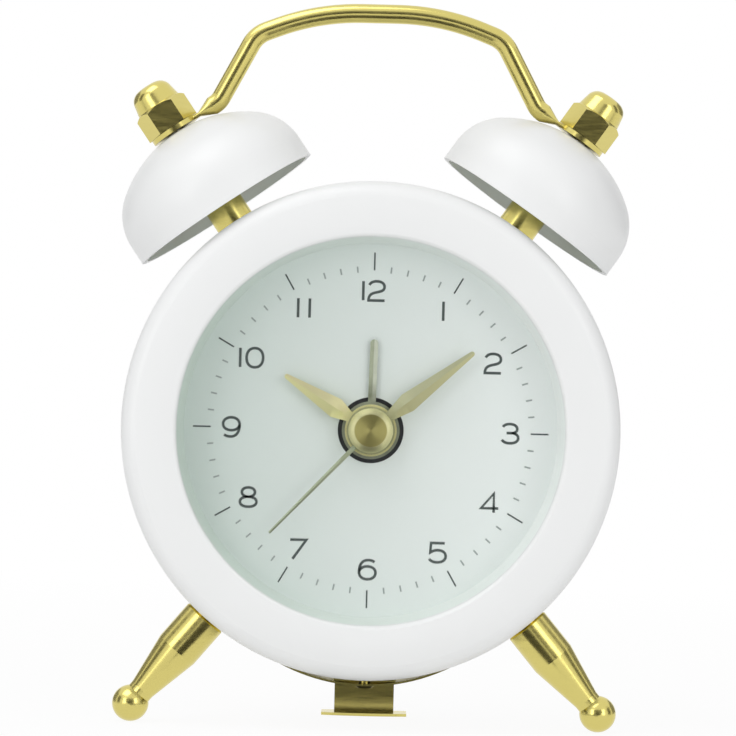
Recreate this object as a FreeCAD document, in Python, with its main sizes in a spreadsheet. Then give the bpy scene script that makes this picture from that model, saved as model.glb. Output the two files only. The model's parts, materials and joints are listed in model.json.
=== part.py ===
import FreeCAD, Part
import math
import os
import re
import Sketcher

# A small twin-bell quartz alarm clock: a round white case on two turned legs and a rear foot, with
# two bells, a wire handle, four hands behind a lens, and a geared quartz movement with an alarm.
# World frame: X to the right, the dial faces -Y, Z up, origin on the floor under the middle of the box.
# Dial frame, used by everything on the dial axis: x right, y up, z forward, z = 0 on the dial's face.

V = FreeCAD.Vector
SMALL = 1e-9
WHEEL_WINDOWS = 5
SOUND_HOLES = 6
KNOB_FLUTES = 16

# Driving dimensions, in millimetres and degrees.
SIZES = {
    # case
    "case_radius": 30.0,
    "case_wall": 1.2,
    "case_corner": 1.8,
    "lip_width": 6.7,
    "lip_thick": 1.6,
    "lip_round": 0.5,
    "round_slack": 1.05,
    "crown_radius": 12.35,
    "crown_height": 0.2,
    "front_wall": 3.5,
    "case_edge_round": 0.5,
    # glass, reveal ring and dial
    "stack_fit": 0.15,
    "lens_thick": 1.0,
    "reveal_depth": 4.0,
    "reveal_width": 3.7,
    "reveal_lap": 0.15,
    "dial_thick": 0.4,
    "dial_hole": 4.0,
    # plates and their levels behind the dial's face
    "plate_thick": 1.0,
    "bridge_thick": 0.8,
    "wheel_thick": 0.6,
    "wheel_gap": 0.3,
    "bridge_gap": 0.3,
    "rotor_gap": 0.4,
    "plate_fit": 0.1,
    "plate_half_width": 15.6,
    "plate_half_height": 15.4,
    "plate_corner": 2.5,
    "pillar_x": 14.2,
    "pillar_y": 14.0,
    "pillar_radius": 1.2,
    "post_inset": 2.2,
    "post_radius": 2.0,
    "post_pilot": 0.7,
    "post_pilot_depth": 6.0,
    # wheels: tooth counts, modules and arbor directions seen from the front
    "pinion_teeth": 8,
    "fifth_teeth": 32,
    "second_teeth": 60,
    "third_teeth": 60,
    "centre_teeth": 64,
    "cannon_teeth": 12,
    "motion_teeth": 36,
    "motion_pinion_teeth": 10,
    "hour_teeth": 40,
    "set_pinion_teeth": 16,
    "alarm_teeth": 36,
    "gear_module": 0.25,
    "addendum_share": 0.75,
    "root_clearance": 0.06,
    "window_ring": 0.55,
    "window_share": 0.2,
    "pressure_angle": 28.0,
    "backlash": 0.09,
    "fifth_direction": -20.0,
    "rotor_direction": -75.0,
    "third_direction": -150.0,
    "set_direction": 130.0,
    "arbor_radius": 0.35,
    "set_shaft_radius": 0.8,
    "set_pivot_radius": 0.5,
    "stud_radius": 0.5,
    "running_fit": 0.05,
    "second_arbor": 0.5,
    "pipe_wall": 0.54,
    "alarm_pipe_wall": 0.64,
    "magnet_radius": 2.4,
    "magnet_thick": 1.0,
    # motor coil and board
    "stator_thick": 0.8,
    "stator_hole": 2.8,
    "stator_ring": 3.6,
    "stator_arm": 2.0,
    "coil_radius": 1.6,
    "coil_y": -13.2,
    "coil_left": 1.4,
    "coil_right": 10.8,
    "core_height": 1.6,
    "board_thick": 0.6,
    "board_half_width": 12.0,
    "board_top": 3.5,
    "board_gap": 1.6,
    "chip_radius": 2.5,
    "chip_top_radius": 1.75,
    "chip_thick": 0.8,
    "crystal_radius": 0.8,
    "crystal_length": 5.5,
    # hands, lengths from the dial axis
    "hand_thick": 0.35,
    "hand_step": 0.75,
    "alarm_hand_level": 0.35,
    "alarm_hand_length": 11.1,
    "alarm_hand_half": 0.48,
    "alarm_hub": 3.5,
    "blade_root": 0.9,
    "tip_slack": 1.02,
    "hour_hand_length": 12.4,
    "hour_hand_half": 1.25,
    "hour_hand_wide_at": 5.0,
    "hour_hub": 3.15,
    "minute_hand_length": 15.7,
    "minute_hand_half": 1.2,
    "minute_hand_wide_at": 5.6,
    "minute_hub": 2.9,
    "hand_tip_half": 0.3,
    "hand_neck_half": 0.55,
    "second_hand_length": 17.4,
    "second_hand_half": 0.3,
    "second_tip_half": 0.16,
    "second_hub": 1.2,
    "cap_radius": 2.7,
    "cap_top_radius": 2.0,
    "cap_thick": 0.7,
    "cap_edge": 0.15,
    "cap_round": 0.95,
    "alarm_hand_angle": 1.0,
    "hour_hand_angle": 301.5,
    "minute_hand_angle": 51.6,
    "second_hand_angle": 223.5,
    # back cover and what it carries
    "cover_thick": 1.2,
    "cover_step": 0.4,
    "spigot_depth": 1.3,
    "spigot_wall": 1.1,
    "cover_fit": 0.1,
    "bay_clear": 0.3,
    "bay_wall": 0.55,
    "bay_gap": 0.3,
    "bay_floor": 0.6,
    "contact_space": 0.3,
    "battery_radius": 5.8,
    "battery_thick": 5.4,
    "battery_step": 0.7,
    "battery_crimp": 0.5,
    "battery_fit": 0.3,
    "door_seat": 1.15,
    "door_fit": 0.15,
    "door_thick": 1.0,
    "lug_reach": 0.75,
    "lug_fit": 0.15,
    "lug_thick": 0.65,
    "lug_half_angle": 12.0,
    "entry_half_angle": 14.0,
    "door_turn": 40.0,
    "coin_slot_length": 9.0,
    "coin_slot_width": 1.3,
    "coin_slot_depth": 0.45,
    "contact_thick": 0.2,
    "leaf_half_length": 4.06,
    "leaf_half_width": 1.2,
    "spring_half_angle": 24.0,
    "spring_short": 1.0,
    "switch_y": 15.5,
    "switch_width": 9.0,
    "switch_height": 4.6,
    "switch_depth": 3.6,
    "slider_half_width": 1.1,
    "slider_half_height": 0.9,
    "slider_travel": 3.0,
    "slider_reach": 1.2,
    "slider_fit": 0.2,
    "buzzer_gap": 2.5,
    "buzzer_y": 1.5,
    "buzzer_radius": 6.0,
    "buzzer_thick": 3.0,
    "sound_hole": 0.7,
    "sound_pitch": 2.4,
    "knob_radius": 4.0,
    "knob_thick": 2.2,
    "knob_gap": 0.4,
    "knob_flute": 0.35,
    "flute_share": 0.4,
    "knob_bore_depth": 1.4,
    # bells, measured along an axis that leaves the dial axis at bell_angle from vertical
    "bell_level": -5.9,
    "bell_angle": 34.6,
    "bell_clear": 2.3,
    "bell_radius": 12.3,
    "bell_height": 11.3,
    "bell_shoulder": 7.0,
    "bell_skirt": 2.5,
    "bell_wall": 0.7,
    "post_outer": 2.45,
    "post_chamfer": 0.3,
    "bell_stud": 1.0,
    "stud_fit": 0.08,
    "tab_thick": 0.6,
    "tab_radius": 3.1,
    "nut_flats": 5.9,
    "nut_height": 3.3,
    "nut_chamfer": 0.35,
    "dome_radius": 2.85,
    "dome_shoulder": 2.6,
    "dome_side": 1.3,
    "dome_top": 1.0,
    "dome_height": 2.7,
    "dome_round": 1.55,
    "dome_sink": 0.2,
    "nut_bore_depth": 4.6,
    "inner_nut_flats": 3.6,
    "inner_nut_thick": 1.3,
    "inner_nut_relief": 0.07,
    "nut_fit": 0.1,
    # handle
    "wire_radius": 1.17,
    "squeeze_start": 5.5,
    "squeeze_end": 3.6,
    "strip_half_width": 1.45,
    "strip_tuck": 2.0,
    "handle_low_at": 6.5,
    "handle_high_in": 9.56,
    "handle_high_up": 12.21,
    "handle_top_up": 15.51,
    "handle_arch_drop": 0.35,
    "handle_arch_share": 0.5,
    "handle_low_bend": 2.4,
    "handle_high_bend": 3.6,
    "handle_arch_bend": 28.8,
    # legs, strap and rear foot
    "leg_level": -2.4,
    "leg_angle": 40.0,
    "leg_seat": 0.05,
    "leg_chamfer": 0.25,
    "leg_radius": 2.7,
    "leg_barrel": 5.3,
    "leg_taper": 6.4,
    "leg_neck": 1.55,
    "leg_ball": 2.225,
    "leg_length": 14.3,
    "leg_stud": 0.9,
    "stud_depth": 3.0,
    "strap_fit": 0.05,
    "strap_end_angle": 48.5,
    "strap_turn": 20.0,
    "strap_clear": 0.12,
    "strap_thick": 0.25,
    "strap_half_width": 3.0,
    "arm_fit": 0.03,
    "arm_thick": 0.35,
    "arm_half_width": 3.75,
    "foot_reach": 2.0,
    "foot_half_width": 5.35,
    "foot_depth": 4.0,
    "foot_bulge": 0.6,
    "bend_radius": 1.2,
    "rivet_radius": 0.8,
    "rivet_head": 1.4,
    "rivet_top": 0.84,
    "rivet_head_thick": 0.4,
    "hole_fit": 0.05,
    # screws
    "screw_radius": 0.45,
    "screw_head": 0.9,
    "screw_head_thick": 0.5,
    "cover_screw": 0.6,
    "cover_screw_head": 1.3,
    "screw_flat": 0.7,
    "cover_screw_length": 4.5,
}

# Sizes worked out from the driving ones; any expression below may use them by name.
FORMULAS = {
    "case_front": "reveal_depth + lens_thick + lip_thick",
    "lip_opening": "case_radius - lip_width",
    "front_bore": "case_radius - front_wall",
    "stack_radius": "front_bore - stack_fit",
    "reveal_rear": "stack_radius - reveal_width",
    "front_plate_radius": "front_bore - plate_fit",
    "post_pitch": "front_plate_radius - post_inset",
    "cover_radius": "case_radius - cover_step",
    "leg_ball_at": "case_radius + leg_length",
    "axis_height": "leg_ball_at * cos(leg_angle) + leg_ball",
    "knob_back": "case_rear + cover_thick + knob_gap + knob_thick",
    "dial_y": "(case_front - knob_back) / 2",
    "lip_rear": "case_front - lip_thick",
    "crown_outer": "case_radius - case_corner",
    "crown_inner": "lip_opening + lip_round",
    "crown_edge": "case_front - crown_height",
    "crown_slope": "(crown_outer - crown_inner) / 2 / crown_radius",
    "corner_radius": "case_corner / (1 - crown_slope)",
    "corner_level": "crown_edge - corner_radius * sqrt(1 - crown_slope ^ 2)",
    "rear_bore": "case_radius - case_wall",
    "reveal_front": "lip_rear - lens_thick",
    "front_plate_back": "dial_thick + plate_thick",
    "level_pitch": "wheel_thick + wheel_gap",
    "alarm_level": "front_plate_back + wheel_gap",
    "hour_level": "alarm_level + level_pitch",
    "cannon_level": "hour_level + level_pitch",
    "bridge_front": "cannon_level + level_pitch",
    "bridge_back": "bridge_front + bridge_thick",
    "centre_level": "bridge_back + bridge_gap",
    "collar_back": "centre_level + wheel_thick + wheel_gap",
    "third_level": "centre_level + level_pitch + wheel_gap * 2 / 3",
    "second_level": "third_level + level_pitch",
    "fifth_level": "second_level + level_pitch",
    "magnet_level": "fifth_level + level_pitch",
    "back_plate_front": "magnet_level + magnet_thick + rotor_gap",
    "back_plate_back": "back_plate_front + plate_thick",
    "bay_front": "back_plate_back + bay_gap",
    "battery_front": "bay_front + bay_floor + contact_space",
    "case_rear": "battery_front + battery_thick",
    "minute_bore": "second_arbor + running_fit",
    "minute_pipe": "minute_bore + pipe_wall",
    "hour_bore": "minute_pipe + running_fit",
    "hour_pipe": "hour_bore + pipe_wall",
    "alarm_bore": "hour_pipe + running_fit",
    "alarm_pipe": "alarm_bore + alarm_pipe_wall",
    "hour_hand_level": "alarm_hand_level + hand_step",
    "minute_hand_level": "hour_hand_level + hand_step",
    "second_hand_level": "minute_hand_level + hand_step",
    "fifth_reach": "gear_module * (second_teeth + pinion_teeth) / 2",
    "rotor_reach": "gear_module * (fifth_teeth + pinion_teeth) / 2",
    "third_reach": "gear_module * (third_teeth + pinion_teeth) / 2",
    "centre_module": "2 * third_reach / (centre_teeth + pinion_teeth)",
    "motion_reach": "gear_module * (motion_teeth + cannon_teeth) / 2",
    "hour_module": "2 * motion_reach / (hour_teeth + motion_pinion_teeth)",
    "set_reach": "gear_module * alarm_teeth",
    "set_pair": "gear_module * (motion_teeth + set_pinion_teeth) / 2",
    "motion_spread": "acos((set_reach ^ 2 + motion_reach ^ 2 - set_pair ^ 2)"
    " / (2 * set_reach * motion_reach)) / 1 deg",
    "fifth_x": "fifth_reach * cos(fifth_direction)",
    "fifth_y": "fifth_reach * sin(fifth_direction)",
    "rotor_x": "fifth_x + rotor_reach * cos(rotor_direction)",
    "rotor_y": "fifth_y + rotor_reach * sin(rotor_direction)",
    "third_x": "third_reach * cos(third_direction)",
    "third_y": "third_reach * sin(third_direction)",
    "set_x": "set_reach * cos(set_direction)",
    "set_y": "set_reach * sin(set_direction)",
    "motion_direction": "set_direction + motion_spread",
    "motion_x": "motion_reach * cos(motion_direction)",
    "motion_y": "motion_reach * sin(motion_direction)",
    "cover_back": "case_rear + cover_thick",
    "spigot_front": "case_rear - spigot_depth",
    "spigot_outer": "rear_bore - cover_fit",
    "bay_bore": "battery_radius + battery_fit",
    "door_radius": "bay_bore + door_seat",
    "lug_radius": "door_radius + lug_reach",
    "groove_radius": "lug_radius + lug_fit",
    "bay_outer": "groove_radius + bay_wall",
    "bay_y": "bay_outer + bay_clear - rear_bore",
    "board_bottom": "bay_y + bay_outer + board_gap",
    "buzzer_x": "rear_bore - buzzer_radius - buzzer_gap",
    "door_front": "cover_back - door_thick - hole_fit",
    "lug_front": "door_front - lug_thick",
    "groove_front": "lug_front - hole_fit * 2",
    "bell_rim_at": "case_radius + bell_clear",
    "stud_inner_end": "case_radius - stud_depth",
    "inner_nut_seat": "rear_bore - nut_fit",
    "shoulder_run": "bell_radius - bell_shoulder",
    "shoulder_rise": "bell_height - bell_skirt - bell_shoulder",
    "crown_offset": "(shoulder_run ^ 2 + shoulder_rise ^ 2) / (2 * shoulder_rise)",
    "bell_crown": "bell_shoulder + crown_offset",
    "crown_cos": "(crown_offset - shoulder_rise) / crown_offset",
    "crown_sin": "shoulder_run / crown_offset",
    "crown_base": "bell_height - bell_crown",
    "bell_top_at": "bell_rim_at + bell_height",
    "tab_top_at": "bell_top_at + tab_thick",
    "arm_top": "case_radius + arm_fit",
    "arm_bottom": "arm_top + arm_thick",
    "foot_back": "case_rear + foot_reach",
    "strap_inner": "case_radius + strap_fit",
    "strap_outer": "strap_inner + strap_thick",
    "strap_bottom": "arm_bottom + arm_half_width ^ 2 / (2 * case_radius) + strap_clear",
    "leg_shoulder_at": "strap_outer + leg_seat",
    "ball_drop": "sqrt(leg_ball ^ 2 - leg_neck ^ 2)",
}

document = FreeCAD.newDocument("TwinBellClock")
sheet = document.addObject("Spreadsheet::Sheet", "Sizes")


def fill_sheet():
    """One row for each driving dimension: its name in column A, its value in column B."""
    for row, (alias, number) in enumerate(SIZES.items(), start=1):
        sheet.set(f"A{row}", alias)
        sheet.set(f"B{row}", str(number))
        sheet.setAlias(f"B{row}", alias)
    document.recompute()


def bind(text):
    """The expression with each size read from the sheet and each formula written out."""

    def spelled(match):
        word = match.group(0)
        if word in FORMULAS:
            return "(" + bind(FORMULAS[word]) + ")"
        if word in SIZES:
            return "Sizes." + word
        return word

    return re.sub(r"[a-z_]+", spelled, text)


known = {}


def size(text):
    """The number that an expression of sizes comes to."""
    if text not in known:
        result = sheet.evalExpression(bind(text))
        known[text] = float(getattr(result, "Value", result))
    return known[text]


FORWARD = FreeCAD.Rotation(V(1, 0, 0), 90)


def place(item, x="0", y="0", z="0", turn=None):
    """Seats an object whose local frame is the dial frame, shifted and turned within it."""
    item.Placement.Rotation = FORWARD.multiply(turn) if turn else FORWARD
    item.setExpression("Placement.Base.x", bind(x))
    item.setExpression("Placement.Base.y", bind(f"dial_y - ({z})"))
    item.setExpression("Placement.Base.z", bind(f"axis_height + ({y})"))


def place_radial(item, angle, level):
    """Seats an object whose local Z leaves the dial axis at angle, clockwise from straight up."""
    item.Placement.Rotation = FreeCAD.Rotation(V(0, 1, 0), angle)
    item.setExpression("Placement.Base.y", bind(f"dial_y - ({level})"))
    item.setExpression("Placement.Base.z", bind("axis_height"))


def new_body(name):
    body = document.addObject("PartDesign::Body", name)
    body.Label = name
    return body


def new_sketch(body, role, name, level=None):
    sketch = body.newObject("Sketcher::SketchObject", name)
    plane = next(item for item in body.Origin.OriginFeatures if item.Role == role)
    sketch.AttachmentSupport = [(plane, "")]
    sketch.MapMode = "FlatFace"
    if level:
        sketch.setExpression("AttachmentOffset.Base.z", bind(level))
    return sketch


def pin(sketch, edge, end, x, y):
    """Holds a point of the sketch at the expressions x and y."""
    for kind, axis, text in (("DistanceX", -2, x), ("DistanceY", -1, y)):
        if abs(size(text)) < SMALL:
            sketch.addConstraint(Sketcher.Constraint("PointOnObject", edge, end, axis))
        else:
            hold(sketch, kind, (-1, 1, edge, end), text)


def outline(sketch, corners, arcs=None):
    """A closed outline through corners; arcs maps an edge's number to its radius and side.

    Side 1 bulges to the right of the way the outline runs, side -1 to the left.
    """
    arcs = arcs or {}
    first = sketch.GeometryCount
    count = len(corners)
    points = [V(size(x), size(y), 0) for x, y in corners]
    for number, start in enumerate(points):
        end = points[(number + 1) % count]
        if number in arcs:
            sketch.addGeometry(arc_between(start, end, *arcs[number]), False)
        else:
            sketch.addGeometry(Part.LineSegment(start, end), False)
    # An arc runs counterclockwise in a sketch, so one that bulges to the left starts at its last corner.
    heads = [2 if number in arcs and arcs[number][1] < 0 else 1 for number in range(count)]
    for number, head in enumerate(heads):
        after = (number + 1) % count
        joint = Sketcher.Constraint("Coincident", first + number, 3 - head, first + after, heads[after])
        sketch.addConstraint(joint)
    for number, (x, y) in enumerate(corners):
        pin(sketch, first + number, heads[number], x, y)
    for number, (radius, side) in arcs.items():
        hold(sketch, "Radius", (first + number,), radius)


def arc_between(start, end, radius, side):
    """A counterclockwise arc on the chord from start to end."""
    chord = end - start
    across = V(chord.y, -chord.x, 0).normalize()
    bend = size(radius)
    rise = bend - math.sqrt(max(bend * bend - chord.Length ** 2 / 4, 0.0))
    middle = (start + end) * 0.5 + across * (rise * side)
    if side > 0:
        return Part.Arc(start, middle, end)
    return Part.Arc(end, middle, start)


def hold(sketch, kind, where, text):
    """Adds a dimension to the sketch and ties it to an expression of sizes."""
    held = sketch.addConstraint(Sketcher.Constraint(kind, *where, size(text)))
    sketch.setExpression(f"Constraints[{held}]", bind(text))


def circle(sketch, x, y, radius):
    edge = sketch.addGeometry(Part.Circle(V(size(x), size(y), 0), V(0, 0, 1), size(radius)), False)
    hold(sketch, "Radius", (edge,), radius)
    pin(sketch, edge, 3, x, y)


def revolve(body, corners, arcs=None, name="Turned", kind="Revolution"):
    """Turns a profile of (radius, height) corners about the body's Z axis; kind Groove cuts with it."""
    sketch = new_sketch(body, "XZ_Plane", name + "Profile")
    outline(sketch, corners, arcs)
    feature = body.newObject(f"PartDesign::{kind}", name)
    feature.Profile = sketch
    feature.ReferenceAxis = (sketch, ["V_Axis"])
    feature.Angle = 360
    settle(body, sketch, feature)
    return feature


def pad(body, sketch, thick, name, backward=False):
    feature = body.newObject("PartDesign::Pad", name)
    feature.Profile = sketch
    feature.setExpression("Length", bind(thick))
    feature.Reversed = backward
    settle(body, sketch, feature)
    return feature


def pocket(body, sketch, name, depth=None, forward=False):
    """Cuts through everything behind the sketch, or to a depth; forward cuts towards +Z."""
    before = body.Tip.Shape.Volume
    feature = body.newObject("PartDesign::Pocket", name)
    feature.Profile = sketch
    feature.Reversed = forward
    if depth:
        feature.setExpression("Length", bind(depth))
    else:
        feature.Type = "ThroughAll"
    settle(body, sketch, feature)
    if feature.Shape.Volume > before - SMALL:
        raise ValueError(f"{name} in {body.Label} cuts nothing")
    return feature


def settle(body, sketch, feature):
    """Computes a sketch, the feature made from it and the body that holds them."""
    sketch.recompute()
    feature.recompute()
    body.recompute()


def disc(name, radius, front, thick, bore=None):
    """A flat disc with an optional bore, its front face at the level front."""
    body = new_body(name)
    inner = bore or "0"
    back = f"{front} - ({thick})"
    revolve(body, [(inner, front), (radius, front), (radius, back), (inner, back)])
    return body


def cylinder(name, radius, length, placement):
    item = document.addObject("Part::Cylinder", name)
    item.setExpression("Radius", bind(radius))
    item.setExpression("Height", bind(length))
    item.Placement = placement
    return item


def radial_placement(angle, level, reach=0.0):
    turn = FreeCAD.Rotation(V(0, 1, 0), angle)
    base = V(0, size(f"dial_y - ({level})"), size("axis_height"))
    return FreeCAD.Placement(base + turn.multVec(V(0, 0, reach)), turn)


def drilled(name, base, drills):
    """The base object with radial stud holes cut through it."""
    for number, (angle, level, radius) in enumerate(drills):
        where = radial_placement(angle, level)
        drill = cylinder(f"{name}_drill_{number}", radius, "case_radius * 2", where)
        cut = document.addObject("Part::Cut", f"{name}_{number}")
        cut.Base = base
        cut.Tool = drill
        base = cut
    base.Label = name
    return base


# Case, glass, reveal ring and dial.

STUD_ANGLES = {
    "bell_left": (-1, "bell_angle", "bell_level", "bell_stud"),
    "bell_right": (1, "bell_angle", "bell_level", "bell_stud"),
    "leg_left": (-1, "180 - leg_angle", "leg_level", "leg_stud"),
    "leg_right": (1, "180 - leg_angle", "leg_level", "leg_stud"),
}


def stud_drills(names):
    drills = []
    for name in names:
        side, angle, level, radius = STUD_ANGLES[name]
        drills.append((side * size(angle), level, f"{radius} + stud_fit"))
    return drills


def make_case_shell():
    body = new_body("case_shell_turned")
    back = "0 - case_rear"
    revolve(
        body,
        [
            ("lip_opening", "lip_rear"),
            ("lip_opening", "crown_edge - lip_round"),
            ("crown_inner", "crown_edge"),
            ("crown_outer", "crown_edge"),
            ("case_radius", "corner_level"),
            ("case_radius", back + " + case_edge_round"),
            ("case_radius - case_edge_round", back),
            ("rear_bore", back),
            ("rear_bore", "0 - dial_thick"),
            ("front_bore", "0 - dial_thick"),
            ("front_bore", "lip_rear"),
        ],
        {
            1: ("lip_round * round_slack", -1),
            2: ("crown_radius", -1),
            3: ("corner_radius", -1),
            5: ("case_edge_round", -1),
        },
    )
    place(body)
    return drilled("case_shell", body, stud_drills(STUD_ANGLES))


def make_reveal_ring():
    body = new_body("reveal_ring")
    revolve(
        body,
        [
            ("reveal_rear", "0"),
            ("stack_radius", "0"),
            ("stack_radius", "reveal_front"),
            ("lip_opening + reveal_lap", "reveal_front"),
        ],
    )
    place(body)


def make_glass_and_dial():
    place(disc("front_lens", "stack_radius", "lip_rear", "lens_thick"))
    place(disc("dial_plate", "stack_radius", "0", "dial_thick", "dial_hole"))
    make_reveal_ring()


# Plates of the movement.


def rounded_plate(body, front, thick):
    """A pad with rounded corners, symmetric about the dial axis."""
    width = "plate_half_width"
    height = "plate_half_height"
    corner = "plate_corner"
    sketch = new_sketch(body, "XY_Plane", "Plate", f"0 - ({front})")
    outline(
        sketch,
        [
            (f"{width} - {corner}", f"{height}"),
            (f"{width}", f"{height} - {corner}"),
            (f"{width}", f"{corner} - {height}"),
            (f"{width} - {corner}", f"0 - {height}"),
            (f"{corner} - {width}", f"0 - {height}"),
            (f"0 - {width}", f"{corner} - {height}"),
            (f"0 - {width}", f"{height} - {corner}"),
            (f"{corner} - {width}", f"{height}"),
        ],
        {0: (corner, -1), 2: (corner, -1), 4: (corner, -1), 6: (corner, -1)},
    )
    pad(body, sketch, thick, "PlatePad", backward=True)


PILLARS = [(a, b) for a in ("pillar_x", "0 - pillar_x") for b in ("pillar_y", "0 - pillar_y")]
POST_DIRECTIONS = (90, 210, 330)
SET_SHAFTS = (("set_x", "set_y"), ("0 - set_x", "set_y"))


def post_centre(direction):
    return f"post_pitch * cos({direction})", f"post_pitch * sin({direction})"


def make_front_plate():
    body = new_body("movement_front_plate")
    revolve(
        body,
        [
            ("alarm_pipe + running_fit", "0 - dial_thick"),
            ("front_plate_radius", "0 - dial_thick"),
            ("front_plate_radius", "0 - front_plate_back"),
            ("alarm_pipe + running_fit", "0 - front_plate_back"),
        ],
    )
    posts = new_sketch(body, "XY_Plane", "Posts", "0 - front_plate_back")
    for direction in POST_DIRECTIONS:
        x, y = post_centre(direction)
        circle(posts, x, y, "post_radius")
    pad(body, posts, "case_rear - front_plate_back", "PostPad", backward=True)
    pillars = new_sketch(body, "XY_Plane", "Pillars", "0 - front_plate_back")
    for x, y in PILLARS:
        circle(pillars, x, y, "pillar_radius")
    pad(body, pillars, "bridge_front - front_plate_back", "PillarPad", backward=True)
    stud = new_sketch(body, "XY_Plane", "Stud", "0 - front_plate_back")
    circle(stud, "motion_x", "motion_y", "stud_radius")
    pad(body, stud, "bridge_front - front_plate_back - running_fit", "StudPad", backward=True)
    screws = new_sketch(body, "XY_Plane", "ScrewHoles", "0 - bridge_front")
    for x, y in PILLARS:
        circle(screws, x, y, "screw_radius + hole_fit")
    pocket(body, screws, "ScrewHoleCut", "bridge_front - front_plate_back", forward=True)
    pivots = new_sketch(body, "XY_Plane", "Pivots", "0 - dial_thick")
    for x, y in SET_SHAFTS:
        circle(pivots, x, y, "set_pivot_radius + running_fit")
    pocket(body, pivots, "PivotCut")
    pilots = new_sketch(body, "XY_Plane", "Pilots", "0 - case_rear")
    for direction in POST_DIRECTIONS:
        x, y = post_centre(direction)
        circle(pilots, x, y, "post_pilot")
    pocket(body, pilots, "PilotCut", "post_pilot_depth", forward=True)
    place(body)


def drill_plate(body, front, holes):
    sketch = new_sketch(body, "XY_Plane", "Holes", f"0 - ({front})")
    for x, y, radius in holes:
        circle(sketch, x, y, radius)
    pocket(body, sketch, "HoleCut")


def arbor_holes(names):
    return [(f"{name}_x", f"{name}_y", "arbor_radius + running_fit") for name in names]


def make_bridge():
    body = new_body("movement_middle_plate")
    rounded_plate(body, "bridge_front", "bridge_thick")
    holes = [("0", "0", "minute_pipe + running_fit")]
    holes += [(x, y, "set_shaft_radius + running_fit") for x, y in SET_SHAFTS]
    holes += [(x, y, "screw_radius + hole_fit") for x, y in PILLARS]
    drill_plate(body, "bridge_front", holes + arbor_holes(("fifth", "third", "rotor")))
    place(body)


def make_back_plate():
    body = new_body("movement_back_plate")
    rounded_plate(body, "back_plate_front", "plate_thick")
    pillars = new_sketch(body, "XY_Plane", "Pillars", "0 - back_plate_front")
    for x, y in PILLARS:
        circle(pillars, x, y, "pillar_radius")
    pad(body, pillars, "back_plate_front - bridge_back", "PillarPad")
    window = new_sketch(body, "XY_Plane", "Window", "0 - back_plate_front")
    edge = "hole_fit * 3"
    outline(
        window,
        [
            (f"coil_left - {edge}", f"coil_y + coil_radius + {edge}"),
            (f"coil_right + {edge}", f"coil_y + coil_radius + {edge}"),
            (f"coil_right + {edge}", f"coil_y - coil_radius - {edge}"),
            (f"coil_left - {edge}", f"coil_y - coil_radius - {edge}"),
        ],
    )
    pocket(body, window, "WindowCut")
    holes = [("0", "0", "second_arbor + running_fit")]
    holes += [(x, y, "set_shaft_radius + running_fit") for x, y in SET_SHAFTS]
    holes += [(x, y, "screw_radius + hole_fit") for x, y in PILLARS]
    drill_plate(body, "bridge_back", holes + arbor_holes(("fifth", "third", "rotor")))
    place(body)


def group(name, items):
    """One node of identical separate pieces."""
    item = document.addObject("Part::Compound", name)
    item.Links = items
    item.Label = name


def make_movement_screws():
    screws = []
    for number, (x, y) in enumerate(PILLARS):
        body = new_body(f"movement_screw_{number}")
        back = "0 - back_plate_back"
        revolve(
            body,
            [
                ("0", back + " - screw_head_thick"),
                ("screw_head", back + " - screw_head_thick"),
                ("screw_head", back),
                ("screw_radius", back),
                ("screw_radius", "0 - front_plate_back - hole_fit"),
                ("0", "0 - front_plate_back - hole_fit"),
            ],
        )
        place(body, x, y)
        screws.append(body)
    group("movement_screws", screws)


# Toothed wheels.


def involute(angle):
    return math.tan(angle) - angle


def toothed_disc(teeth, module, phase, front, thick):
    """A spur wheel as one prism. Each flank is two straight facets inside the involute."""
    pitch = module * teeth / 2
    slope = math.radians(size("pressure_angle"))
    base = pitch * math.cos(slope)
    tip = pitch + module * size("addendum_share")
    root = pitch - module * size("addendum_share") - size("root_clearance")
    low = max(base, root)
    half_pitch = math.pi / (2 * teeth) - size("backlash") / (4 * pitch)

    def half_angle(radius):
        lean = math.acos(min(base / radius, 1.0))
        return half_pitch + involute(slope) - involute(lean)

    flank = [(root, half_angle(low)), (pitch, half_angle(pitch)), (tip, half_angle(tip))]
    rim = []
    for tooth in range(teeth):
        middle = phase + 2 * math.pi * tooth / teeth
        for radius, half in flank:
            rim.append((radius, middle - half))
        for radius, half in reversed(flank):
            rim.append((radius, middle + half))
    points = [V(r * math.cos(a), r * math.sin(a), -front) for r, a in rim]
    face = Part.Face(Part.makePolygon(points + points[:1]))
    return face.extrude(V(0, 0, -thick))


def rod(radius, front, back):
    return Part.makeCylinder(radius, back - front, V(0, 0, -back))


def mesh_phase(phase, teeth, direction, mate_teeth):
    """The turn of a mating wheel whose tooth gap meets this wheel's tooth along direction."""
    pitch_angle = 2 * math.pi / teeth
    shift = math.fmod(phase - direction, pitch_angle)
    mate_pitch = 2 * math.pi / mate_teeth
    return direction + math.pi - shift * teeth / mate_teeth - mate_pitch / 2


def wheel_feature(name, shape, x="0", y="0"):
    item = document.addObject("Part::Feature", name)
    item.Label = name
    item.Shape = shape.removeSplitter()
    place(item, x, y)


def lightened(shape, pitch, front, thick):
    """The wheel with round windows between its spokes."""
    ring = pitch * size("window_ring")
    radius = pitch * size("window_share")
    for step in range(WHEEL_WINDOWS):
        turn = 2 * math.pi * step / WHEEL_WINDOWS
        window = Part.makeCylinder(radius, thick * 3, V(0, 0, -front - thick * 2))
        window.translate(V(ring * math.cos(turn), ring * math.sin(turn), 0))
        shape = shape.cut(window)
    return shape


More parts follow.
